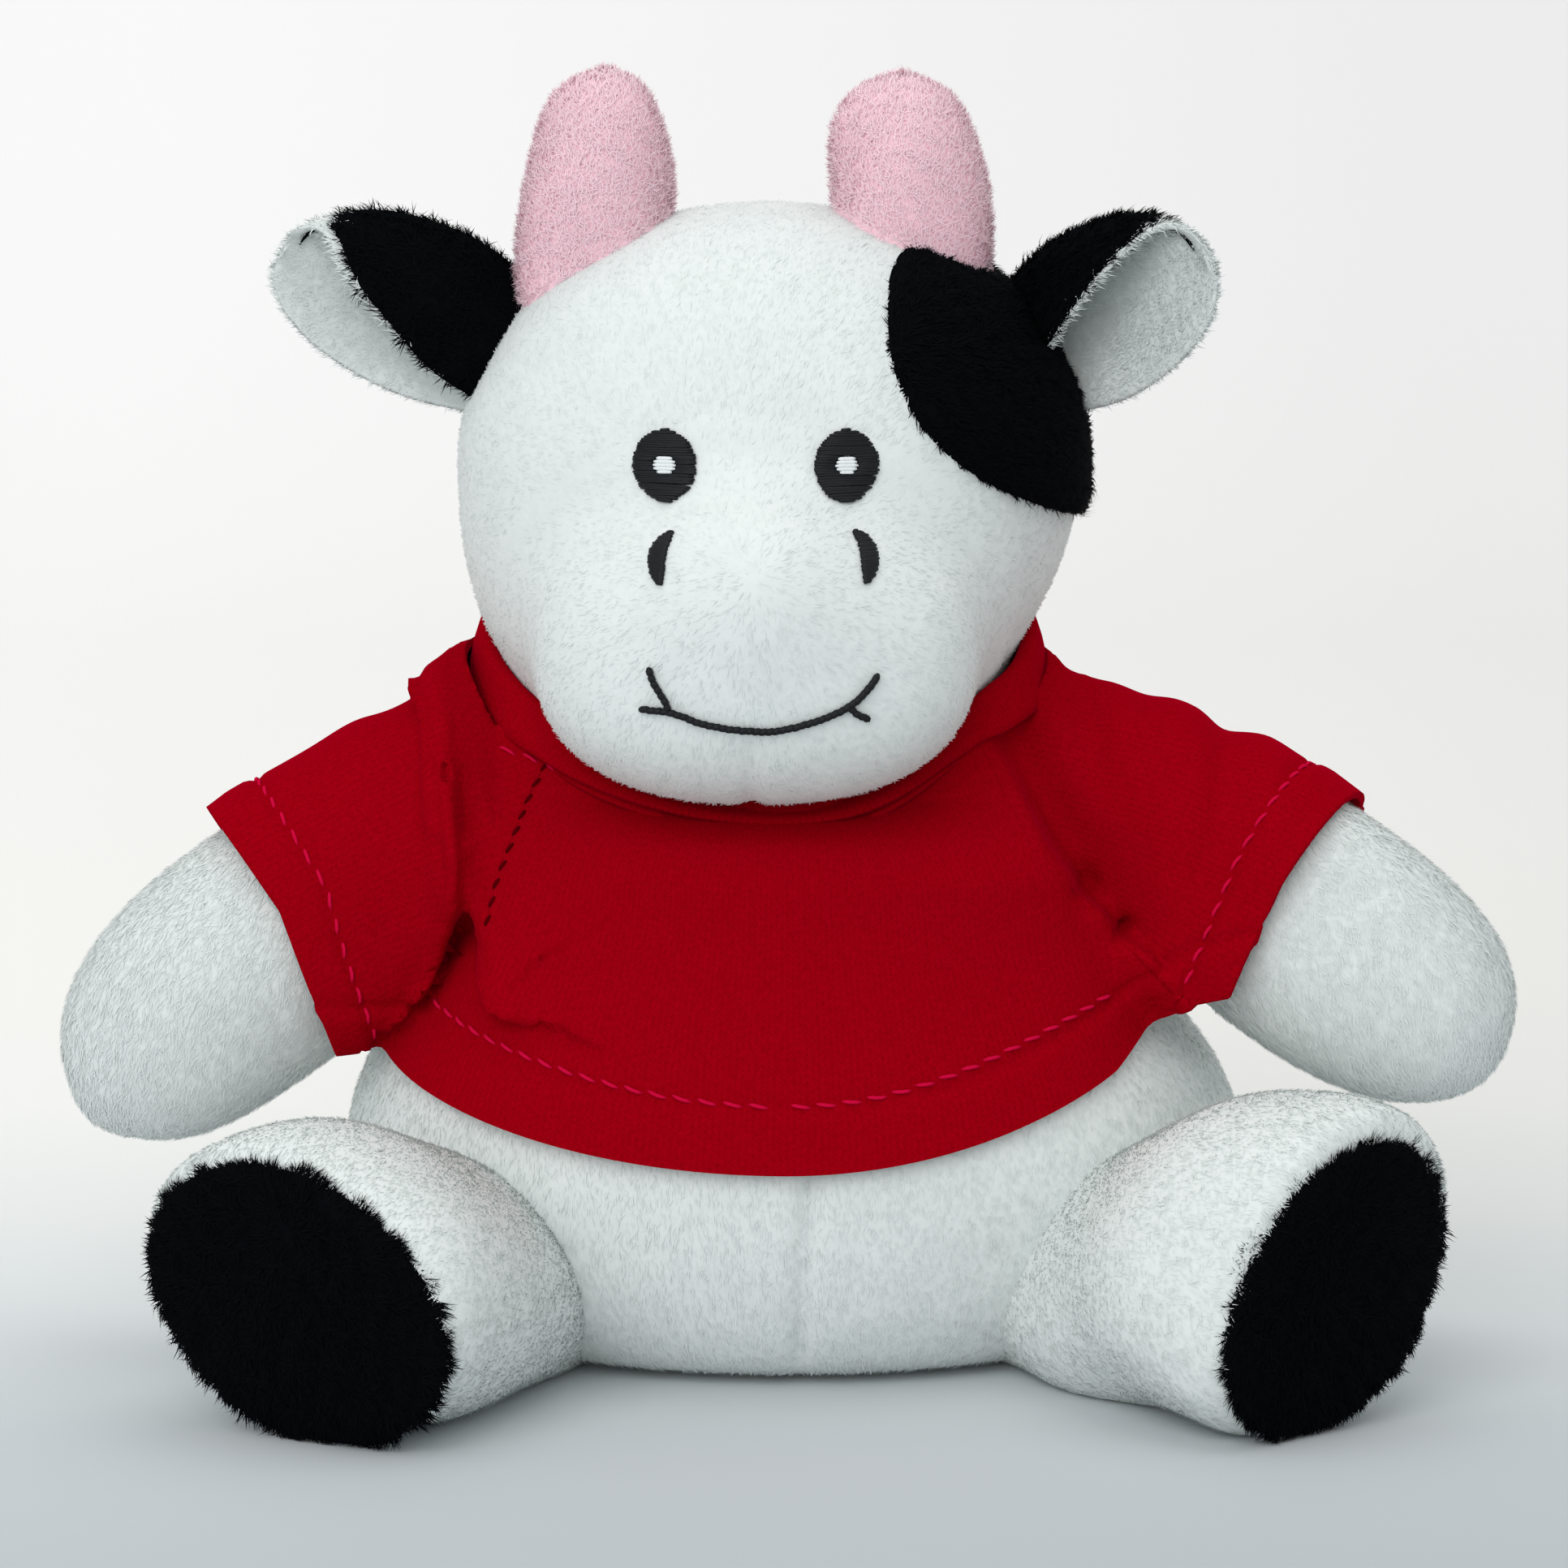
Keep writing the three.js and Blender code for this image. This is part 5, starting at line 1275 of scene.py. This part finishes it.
def surface_of(field, low, high, step):
    """Points and triangles of the surface where a field is zero, in even steps."""
    axes = [np.arange(a, b + step, step) for a, b in zip(low, high)]
    grid = np.stack(np.meshgrid(*axes, indexing="ij"), -1)
    inside = field(grid) < 0
    rows, columns, layers = np.array(inside.shape) - 1
    count = sum(
        inside[i : rows + i, j : columns + j, k : layers + k].astype(np.int8)
        for i in (0, 1) for j in (0, 1) for k in (0, 1)
    )
    mixed = (count > 0) & (count < 8)
    number = np.full(mixed.shape, -1)
    number[mixed] = np.arange(mixed.sum())
    points = grid[:-1, :-1, :-1][mixed] + step / 2
    quads = []
    for axis in range(3):
        one, two = [a for a in range(3) if a != axis]
        first = np.take(inside, range(inside.shape[axis] - 1), axis)
        second = np.take(inside, range(1, inside.shape[axis]), axis)
        crossing = np.argwhere(first != second)
        crossing = crossing[
            (crossing[:, one] > 0) & (crossing[:, two] > 0)
            & (crossing[:, one] < mixed.shape[one]) & (crossing[:, two] < mixed.shape[two])
        ]
        corners = []
        for back_one, back_two in ((1, 1), (0, 1), (0, 0), (1, 0)):
            cell = crossing.copy()
            cell[:, one] -= back_one
            cell[:, two] -= back_two
            corners.append(number[tuple(cell.T)])
        quad = np.stack(corners, 1)
        outwards = first[tuple(crossing.T)] ^ (axis == 1)
        quads.append(np.where(outwards[:, None], quad, quad[:, ::-1]))
    quads = np.concatenate(quads)
    quads = quads[(quads >= 0).all(1)]
    faces = np.concatenate([quads[:, (0, 1, 2)], quads[:, (0, 2, 3)]])
    edges = np.concatenate([quads[:, (0, 1)], quads[:, (1, 2)], quads[:, (2, 3)], quads[:, (3, 0)]])

    def settled(points):
        for _ in range(3):
            value = field(points)
            slope = np.stack([field(points + np.eye(3)[k] * 0.05) - value for k in range(3)], 1) / 0.05
            points = points - np.clip(value / ((slope**2).sum(1) + 1e-6), -2, 2)[:, None] * slope
        return points

    points = settled(points)
    for _ in range(3):
        total, shared = np.zeros_like(points), np.zeros(len(points))
        for a, b in ((0, 1), (1, 0)):
            np.add.at(total, edges[:, a], points[edges[:, b]])
            np.add.at(shared, edges[:, a], 1)
        points = settled(points * 0.4 + total / np.maximum(shared, 1)[:, None] * 0.6)
    return points, faces


def only_used(points, faces):
    """A surface without the points that no triangle uses."""
    used, renumbered = np.unique(faces, return_inverse=True)
    return points[used], renumbered.reshape(-1, 3)


def kept_side(points, faces, values):
    """The part of a surface where the values are positive, with a clean edge where they reach zero."""
    values = np.where(np.abs(values) < 1e-4, 1e-4, values)
    up = values[faces] > 0
    whole = faces[up.all(1)]
    cut = faces[up.any(1) & ~up.all(1)]
    held = values[cut] > 0
    single = held.sum(1) == 1
    first = np.where(single, held.argmax(1), (~held).argmax(1))
    a, b, c = (cut[np.arange(len(cut)), (first + k) % 3] for k in range(3))
    pairs = np.sort(np.concatenate([np.stack([a, b], 1), np.stack([a, c], 1)]), axis=1)
    unique, where = np.unique(pairs, axis=0, return_inverse=True)
    where = where.reshape(-1)
    low, high = values[unique[:, 0]], values[unique[:, 1]]
    share = (low / (low - high))[:, None]
    added = points[unique[:, 0]] * (1 - share) + points[unique[:, 1]] * share
    ab, ac = where[: len(a)] + len(points), where[len(a) :] + len(points)
    points = np.concatenate([points, added])
    trimmed = np.concatenate([
        np.stack([a, ab, ac], 1)[single],
        np.stack([ab, b, c], 1)[~single],
        np.stack([ab, c, ac], 1)[~single],
    ])
    faces = np.concatenate([whole, trimmed])
    return only_used(points, faces)


def largest_part(points, faces):
    """The largest connected part of a surface."""
    label = np.arange(len(points))
    for _ in range(400):
        lowest = label[faces].min(1)
        before = label.copy()
        for k in range(3):
            np.minimum.at(label, faces[:, k], lowest)
        label = label[label]
        if (label == before).all():
            break
    names, counts = np.unique(label, return_counts=True)
    return only_used(points, faces[label[faces[:, 0]] == names[counts.argmax()]])


def slopes_of(points, faces):
    """The way each point of a surface faces, and the size of each of its triangles."""
    a, b, c = (points[faces[:, i]] for i in range(3))
    cross = np.cross(b - a, c - a)
    normals = np.zeros_like(points)
    for k in range(3):
        np.add.at(normals, faces[:, k], cross)
    return unit(normals, 1e-12), np.linalg.norm(cross, axis=1) / 2


def slopes_from(whole, points):
    """The way points of a part face, taken from the whole, so that no line shows where it is parted."""
    normals, _ = slopes_of(*whole)
    tree = KDTree(len(normals))
    for i, point in enumerate(whole[0]):
        tree.insert(point, i)
    tree.balance()
    found = np.zeros_like(points)
    for k, point in enumerate(points):
        for _, i, far in tree.find_n(point, 3):
            found[k] += normals[i] / (far + 0.02) ** 2
    return unit(found, 1e-12)


def lay_grain(piece, across, along):
    """Keeps the run of the knit as a map, from its place across and along at each point."""
    layer = piece.data.uv_layers.new(name="grain")
    corners = numbers_of(piece.data.loops, "vertex_index", kind=np.int32)
    layer.data.foreach_set("uv", np.stack([across[corners], along[corners]], 1).ravel().astype(np.float32))


def cloth_piece(name, points, faces, grain, whole=None):
    """A closed sheet of jersey under a surface, and the area of that surface in square metres."""
    normals, sizes = slopes_of(points, faces)
    if whole is not None:
        normals = slopes_from(whole, points)
    edges = np.concatenate([faces[:, (0, 1)], faces[:, (1, 2)], faces[:, (2, 0)]])
    keys = np.sort(edges, axis=1) @ (len(points), 1)
    _, place, times = np.unique(keys, return_index=True, return_counts=True)
    rim = edges[place[times == 1]]
    count = len(points)
    sides = np.concatenate([
        np.stack([rim[:, 1], rim[:, 0], rim[:, 0] + count], 1),
        np.stack([rim[:, 1], rim[:, 0] + count, rim[:, 1] + count], 1),
    ])
    everything = np.concatenate([points, points - normals * CLOTH_THICK])
    triangles = np.concatenate([faces, faces[:, ::-1] + count, sides])
    piece = piece_of(name, everything, triangles.tolist(), RED_JERSEY)
    if whole is None:
        piece.data.polygons.foreach_set("use_smooth", np.arange(len(triangles)) < 2 * len(faces))
    else:
        piece.data.normals_split_custom_set_from_vertices(np.concatenate([normals, -normals]).tolist())
    lay_grain(piece, *grain(everything))
    return piece, sizes.sum() * 1e-6


RIB_PITCH, LOOP_PITCH = 0.76, 0.6


def jersey(name, dark, light, tint):
    """Fine cotton jersey: narrow ribs of knit along the cloth, soft and matt, brighter at a slant."""
    finish, tree, shader = new_finish(
        name,
        {
            "Roughness": 0.9,
            "Specular IOR Level": 0.0,
            "Sheen Weight": 0.22,
            "Sheen Roughness": 0.35,
            "Sheen Tint": (*tint, 1),
        },
    )
    run = add_node(tree, "UVMap", uv_map="grain")
    parts = add_node(tree, "SeparateXYZ")
    tree.links.new(run.outputs["UV"], parts.inputs["Vector"])
    ribs, loops = (
        worked_out(tree, "SINE", worked_out(tree, "MULTIPLY", parts.outputs[axis], 2 * math.pi / pitch))
        for axis, pitch in (("X", RIB_PITCH), ("Y", LOOP_PITCH))
    )
    place = add_node(tree, "TexCoord")
    fuzz = add_node(tree, "TexNoise", {"Scale": 2200, "Detail": 4})
    tree.links.new(place.outputs["Object"], fuzz.inputs["Vector"])
    faint = worked_out(tree, "MULTIPLY", ribs, 0.4)
    knit = worked_out(tree, "MULTIPLY_ADD", worked_out(tree, "MULTIPLY", loops, ribs), 0.5, faint)
    height = worked_out(tree, "MULTIPLY_ADD", fuzz.outputs["Fac"], 7.0, knit)
    spread = add_node(tree, "MapRange", {"From Min": 0.8, "From Max": 6.2})
    tree.links.new(height, spread.inputs["Value"])
    lay_colours(tree, shader, spread.outputs["Result"], dark, light)
    lay_relief(tree, shader, height, 0.3, 0.00006)
    return finish


RED_JERSEY = jersey("red_jersey", (0.24, 0.0002, 0.0036), (0.37, 0.0004, 0.0070), (1.0, 0.0, 0.07))


def sleeve_side(way, points):
    """How far each point lies on the sleeve's side of the raglan seam."""
    seam = np.asarray(SEAM_X[way])
    beyond = way * points[..., 0] - np.interp(points[..., 2], seam[:, 0], seam[:, 1])
    fuller = torso_field(points) - sleeve_field(way, points)[0] + 3 * np.clip(points[..., 2] - 46, 0, 20)
    return np.minimum(beyond, fuller)


def torso_grain(points):
    """The run of the knit round the body, across and along."""
    turn = np.arctan2(points[:, 0] - BODY_X, BODY_Y - points[:, 1])
    return turn * 42, points[:, 2]


rest = surface_of(shirt_field, (-74, -37, 20), (74, 55, 92), 0.8)
rest = kept_side(*rest, over_hem(rest[0]))
rest = kept_side(*rest, under_neck(rest[0], 1.0))
panels = {}
for way in (1, -1):
    share, a, _ = in_arm(way, rest[0])
    rest = kept_side(*rest, np.where(rest[0][:, 0] * way > 30, to_cuff(way, share, a), 20.0))
    panels[way] = largest_part(*kept_side(*rest, sleeve_side(way, rest[0])))
    rest = kept_side(*rest, -sleeve_side(way, rest[0]))
panels["front"] = largest_part(*kept_side(*rest, BODY_Y - rest[0][:, 1]))
panels["back"] = largest_part(*kept_side(*rest, rest[0][:, 1] - BODY_Y))

# Each panel is made in two halves, one on each side of the toy's middle.
for face in ("front", "back"):
    for side, way in SIDES:
        whole = panels[face]
        half = largest_part(*kept_side(*whole, way * (whole[0][:, 0] - BODY_X)))
        panel, area = cloth_piece("shirt_" + face + "_" + side + "_cloth", *half, torso_grain, whole)
        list(arm_bend(way))
        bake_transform(panel)
        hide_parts("shirt_" + face)
for side, way in SIDES:

    def sleeve_grain(points, way=way):
        share, a, b = in_arm(way, points)
        return np.arctan2(b, a) * 15, share * ARM_LENGTH[way]

    panel, area = cloth_piece("shirt_sleeve_" + side + "_cloth", *panels[way], sleeve_grain)
    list(arm_bend(way))
    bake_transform(panel)
    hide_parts("shirt_sleeve_" + side)

# Collar: a strip of the same jersey, folded double, rolled over the neckline and stitched down.
NECK_STEPS = 220
NECK_TURNS = np.linspace(0, 2 * np.pi, NECK_STEPS, endpoint=False)
neck_line = np.tile((0.0, 0.0, 81.1), (NECK_STEPS, 1))
for _ in range(12):
    wide, deep = shirt_sizes(neck_line[:, 2], np.clip(-np.sin(NECK_TURNS), 0, 1))
    neck_line[:, 0] = shirt_middle(neck_line[:, 2]) + (wide - 0.6) * np.cos(NECK_TURNS)
    neck_line[:, 1] = BODY_Y + (np.maximum(deep, 25.4) - 0.3) * np.sin(NECK_TURNS)
    neck_line[:, 2] = 0
    neck_line[:, 2] = under_neck(neck_line, 1.4, shoulders=False)
neck_way = unit(np.roll(neck_line, -1, 0) - np.roll(neck_line, 1, 0))
neck_lean = 0.35 + 2.3 * np.clip(-np.sin(NECK_TURNS), 0, 1) ** 2
neck_out = np.stack([np.cos(NECK_TURNS), np.sin(NECK_TURNS), neck_lean], 1)
neck_out = unit(neck_out - (neck_out * neck_way).sum(1, keepdims=True) * neck_way)
neck_up = np.cross(neck_out, neck_way)
neck_up *= np.sign(neck_up[:, 2:3])
strip = np.array(  # the folded strip from its outer edge over the roll to its inner one: out, up
    [(0.75, -2.7), (0.85, -1.4), (0.95, 0.0), (0.9, 1.4)]
    + [(0.05 + 0.85 * math.cos(t), 1.9 + 0.85 * math.sin(t)) for t in np.linspace(0.3, np.pi - 0.3, 7)]
    + [(-0.8, 1.4), (-0.8, 0.0), (-0.8, -2.4)]
)
strip += (0, 1.0)
strip_way = unit(np.gradient(strip, axis=0))
strip_out = np.stack([strip_way[:, 1], -strip_way[:, 0]], 1) * 0.33
profile = np.concatenate([strip + strip_out, (strip - strip_out)[::-1]])
sides = len(profile)
sunk = 1.7 * np.clip(-np.sin(NECK_TURNS), 0, 1) ** 6  # under the chin the band lies inside the cloth
collar_rings = (
    (neck_line - neck_out * sunk[:, None])[:, None, :]
    + neck_up[:, None, :] * profile[None, :, 1, None]
    + neck_out[:, None, :] * profile[None, :, 0, None]
)
ring = np.arange(NECK_STEPS * sides).reshape(NECK_STEPS, sides)
next_ring, next_side = np.roll(ring, -1, 0), np.roll(ring, -1, 1)
collar_faces = np.stack([ring, next_ring, np.roll(next_ring, -1, 1), next_side], -1).reshape(-1, 4)
collar = piece_of("shirt_collar_band", collar_rings.reshape(-1, 3), collar_faces.tolist(), RED_JERSEY)
lay_grain(collar, np.arange(NECK_STEPS * sides) // sides * 0.93, np.tile(profile[:, 1], NECK_STEPS))
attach(collar, "torso")
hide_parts("shirt_collar")

# Stitching: red cotton thread. A line of long stitches holds the turned-in hem, the cuffs and the collar, and
# a closer one runs down each raglan seam; that one's thread is painted dark, for the shade in the seam's gaps
# between stitches.
RED_THREAD = thread_finish("red_thread", (0.60, 0.004, 0.045), 0.0)
# Painted shade: the raglan thread is made dark red for the shade in the seam's gaps between stitches.
SHADED_RAGLAN_THREAD = thread_finish("red_thread_painted_shade", (0.10, 0.0004, 0.003), 0.0)
HEM_STITCH = (2.9, 2.2, 0.23)  # the pitch, the length on the cloth, and the thread's half thickness
COLLAR_STITCH = (2.9, 2.2, 0.2)
RAGLAN_STITCH = (2.2, 1.3, 0.2)


def on_cloth(middles, ways, far):
    """Where rays from inside the shirt first leave it, and its slope there; rays that don't are left out."""
    steps = np.arange(0, far, 0.5)
    run = shirt_field(middles[:, None] + ways[:, None] * steps[None, :, None])
    leaving = (run[:, :-1] < 0) & (run[:, 1:] >= 0)
    found = leaving.any(1)

    def place(reach):
        return middles + ways * reach[:, None]

    low = steps[leaving.argmax(1)]
    points = place(last_inside(shirt_field, place, low, low + 0.5, 12))[found]
    slope = [shirt_field(points + step) - shirt_field(points - step) for step in np.eye(3) * 0.2]
    return points, unit(np.stack(slope, 1), 1e-9)


def sewn_line(name, points, slopes, stitch, finish):
    """Stitches at an even pitch along a line on the cloth, but none where it jumps or nears the hem."""
    pitch, length, radius = stitch
    steps = np.linalg.norm(np.diff(points, axis=0), axis=1)
    reach = np.concatenate([[0], np.cumsum(steps)])
    lines, facings = [], []
    for start in np.arange(0, reach[-1] - length, pitch):
        span = np.linspace(start, start + length, 5)
        first, last = np.searchsorted(reach, (span[0], span[-1]))
        if steps[max(first - 1, 0) : last].max() > 1.6:
            continue
        point, slope = interpolated(span, reach, points), interpolated(span, reach, slopes)
        if over_hem(point).min() < 1.5:
            continue
        aside = np.cross(point[-1] - point[0], slope[2])
        point += aside / (np.linalg.norm(aside) + 1e-9) * np.linspace(-0.22, 0.22, 5)[:, None]
        lines.append(point + slope * (0.3 * np.sin(np.linspace(0, np.pi, 5)) - 0.05)[:, None])
        facings.append(slope)
    return threads(name, lines, radius, finish, facings)


turn = np.linspace(0.5 * np.pi, 2.5 * np.pi, 700)
hem_ways = np.stack([np.cos(turn), np.sin(turn), 0 * turn], 1)
hem_middles = np.tile((BODY_X, BODY_Y, 36.0), (700, 1))
for _ in range(8):
    wide, deep = sizes_at(SHIRT_ROWS, hem_middles[:, 2])
    edge = hem_middles + hem_ways * np.stack([wide, deep, 0 * wide], 1)
    hem_middles[:, 2] -= over_hem(edge, HEM_BAND)
seams = {}
for side, way in SIDES:
    turn = np.linspace(0, 2 * np.pi, 360)
    wide = 18.0 * np.cos(turn)
    half = slice(350, 700) if way > 0 else slice(0, 350)
    line = on_cloth(hem_middles[half], hem_ways[half], 62)
    seams["hem_" + side] = sewn_line("hem_" + side + "_stitches", *line, HEM_STITCH, RED_THREAD)
    share = np.full(360, (SLEEVE_LENGTH - CUFF_BAND) / ARM_LENGTH[way])
    share += to_cuff(way, share, wide) / ARM_LENGTH[way] - CUFF_BAND / ARM_LENGTH[way]
    middles, ways = [], []
    for part, angle in zip(share, turn):
        point, direction = arm_line(way, part)
        across, deep = arm_sides(direction)
        middles.append(point)
        ways.append(across * math.cos(angle) + deep * math.sin(angle))
    line = on_cloth(np.array(middles), np.array(ways), 24)
    seams["cuff_" + side] = sewn_line("cuff_" + side + "_stitches", *line, HEM_STITCH, RED_THREAD)
    seam = np.asarray(SEAM_X[way])
    for face, front in (("front", -1), ("back", 1)):
        if way > 0 and front < 0:
            continue  # a fold lies over this one
        heights = np.linspace(52, NECK_FRONT + (5.5 if front < 0 else 14), 60)
        across = way * np.interp(heights, seam[:, 0], seam[:, 1])
        middles = np.stack([across, np.full(60, BODY_Y), heights], 1)
        line = on_cloth(middles, np.tile((0.0, front, 0.0), (60, 1)), 45)
        name = "raglan_" + face + "_" + side
        seams[name] = sewn_line(name + "_stitches", *line, RAGLAN_STITCH, SHADED_RAGLAN_THREAD)
turn = np.radians(np.linspace(196, 244, 240))
ways = np.stack([np.cos(turn), np.sin(turn), 0 * turn], 1)
middles = np.tile((NECK_X, BODY_Y, 0.0), (240, 1))
middles[:, 2] = np.interp(turn, NECK_TURNS, neck_line[:, 2]) - 2.6
seams["collar"] = sewn_line("collar_stitches", *on_cloth(middles, ways, 40), COLLAR_STITCH, RED_THREAD)
for name, line in seams.items():
    way = 1 if name.endswith("left") else -1
    if name == "collar":
        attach(line, "torso")
    else:
        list(arm_bend(way))
        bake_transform(line)

# Floor and backdrop: a sheet of pale matt card that lies flat and curves up far behind the toy.
# Its colour is pale card with painted shade in it: cool and dimmer in front, paler behind, and a little
# dimmer to one side.
# Painted shade: these tones dim the pale card towards the front, standing in for the fall of the light.
FLOOR_TONES_AND_PAINTED_SHADE = [  # depth in metres, then the tone
    (-0.12, (0.52, 0.57, 0.59)), (-0.043, (0.62, 0.66, 0.68)), (0.05, (0.79, 0.82, 0.815)),
    (0.15, (0.92, 0.92, 0.89)), (0.26, (0.93, 0.92, 0.885)), (0.95, (0.96, 0.95, 0.945)),
]
FLOOR_START, FLOOR_END = FLOOR_TONES_AND_PAINTED_SHADE[0][0], FLOOR_TONES_AND_PAINTED_SHADE[-1][0]
CARD_WIDE = 5.0
card = bpy.data.meshes.new("card")
card_line = [(-0.9, 0.0), (0.7, 0.0)]
card_line += [(0.7 + 0.5 * math.sin(t), 0.5 - 0.5 * math.cos(t)) for t in np.linspace(0.1, math.pi / 2, 16)]
card_line += [(1.2, 2.2)]
card_points = [(x, y, z) for y, z in card_line for x in (-CARD_WIDE / 2, CARD_WIDE / 2)]
card_faces = [(2 * i, 2 * i + 1, 2 * i + 3, 2 * i + 2) for i in range(len(card_line) - 1)]
card.from_pydata(card_points, [], card_faces)
card.polygons.foreach_set("use_smooth", [True] * len(card.polygons))
card_with_painted_shade, tree, shader = new_finish("card", {"Roughness": 0.9, "Specular IOR Level": 0.1})
place = add_node(tree, "TexCoord")
parts = add_node(tree, "SeparateXYZ")
tree.links.new(place.outputs["Object"], parts.inputs["Vector"])
spread = add_node(tree, "MapRange", {"From Min": FLOOR_START, "From Max": FLOOR_END})
tree.links.new(parts.outputs["Y"], spread.inputs["Value"])
painted_floor_shade = add_node(tree, "ValToRGB")
while len(painted_floor_shade.color_ramp.elements) < len(FLOOR_TONES_AND_PAINTED_SHADE):
    painted_floor_shade.color_ramp.elements.new(0.5)
for element, (depth, tone) in zip(painted_floor_shade.color_ramp.elements, FLOOR_TONES_AND_PAINTED_SHADE):
    element.position = (depth - FLOOR_START) / (FLOOR_END - FLOOR_START)
    element.color = (*tone, 1)
tree.links.new(spread.outputs["Result"], painted_floor_shade.inputs["Fac"])
# Painted shade: the card's colour is dimmed by up to a tenth towards +x, standing in for light that falls off
# to that side.
aside = add_node(tree, "MapRange", {"From Min": -0.16, "From Max": 0.16, "To Min": 1.0, "To Max": 0.9})
tree.links.new(parts.outputs["X"], aside.inputs["Value"])
side_painted_shade = add_node(tree, "VectorMath", operation="SCALE")
tree.links.new(painted_floor_shade.outputs["Color"], side_painted_shade.inputs["Vector"])
tree.links.new(aside.outputs["Result"], side_painted_shade.inputs["Scale"])
tree.links.new(side_painted_shade.outputs["Vector"], shader.inputs["Base Color"])
card_sheet = shown("card", card, card_with_painted_shade)

# Light: soft daylight from all round, with a broad lamp in front, a little to the left of the view
# and above it, and a weaker one overhead.
sky = bpy.data.worlds.new("sky")
bpy.context.scene.world = sky
sky.use_nodes = True
daylight = sky.node_tree.nodes["Background"]
daylight.inputs["Color"].default_value = (0.97, 0.99, 1.0, 1)
daylight.inputs["Strength"].default_value = 0.64
for name, place, aim, size, power in (
    ("lamp_front", (-0.5, -1.5, 0.85), (0, 0, 0.06), 1.4, 15.0),
    ("lamp_top", (0.2, 0.3, 1.7), (0, 0, 0.05), 1.4, 7.0),
):
    lamp = bpy.data.lights.new(name, "AREA")
    lamp.size = size
    lamp.energy = power
    stand = bpy.data.objects.new(name, lamp)
    stand.location = place
    way = np.array(aim) - np.array(place)
    stand.rotation_euler = (
        math.atan2(math.hypot(way[0], way[1]), -way[2]), 0, math.atan2(way[0], -way[1]) + math.pi,
    )
    bpy.context.scene.collection.objects.link(stand)
bpy.context.scene.view_settings.view_transform = "Standard"
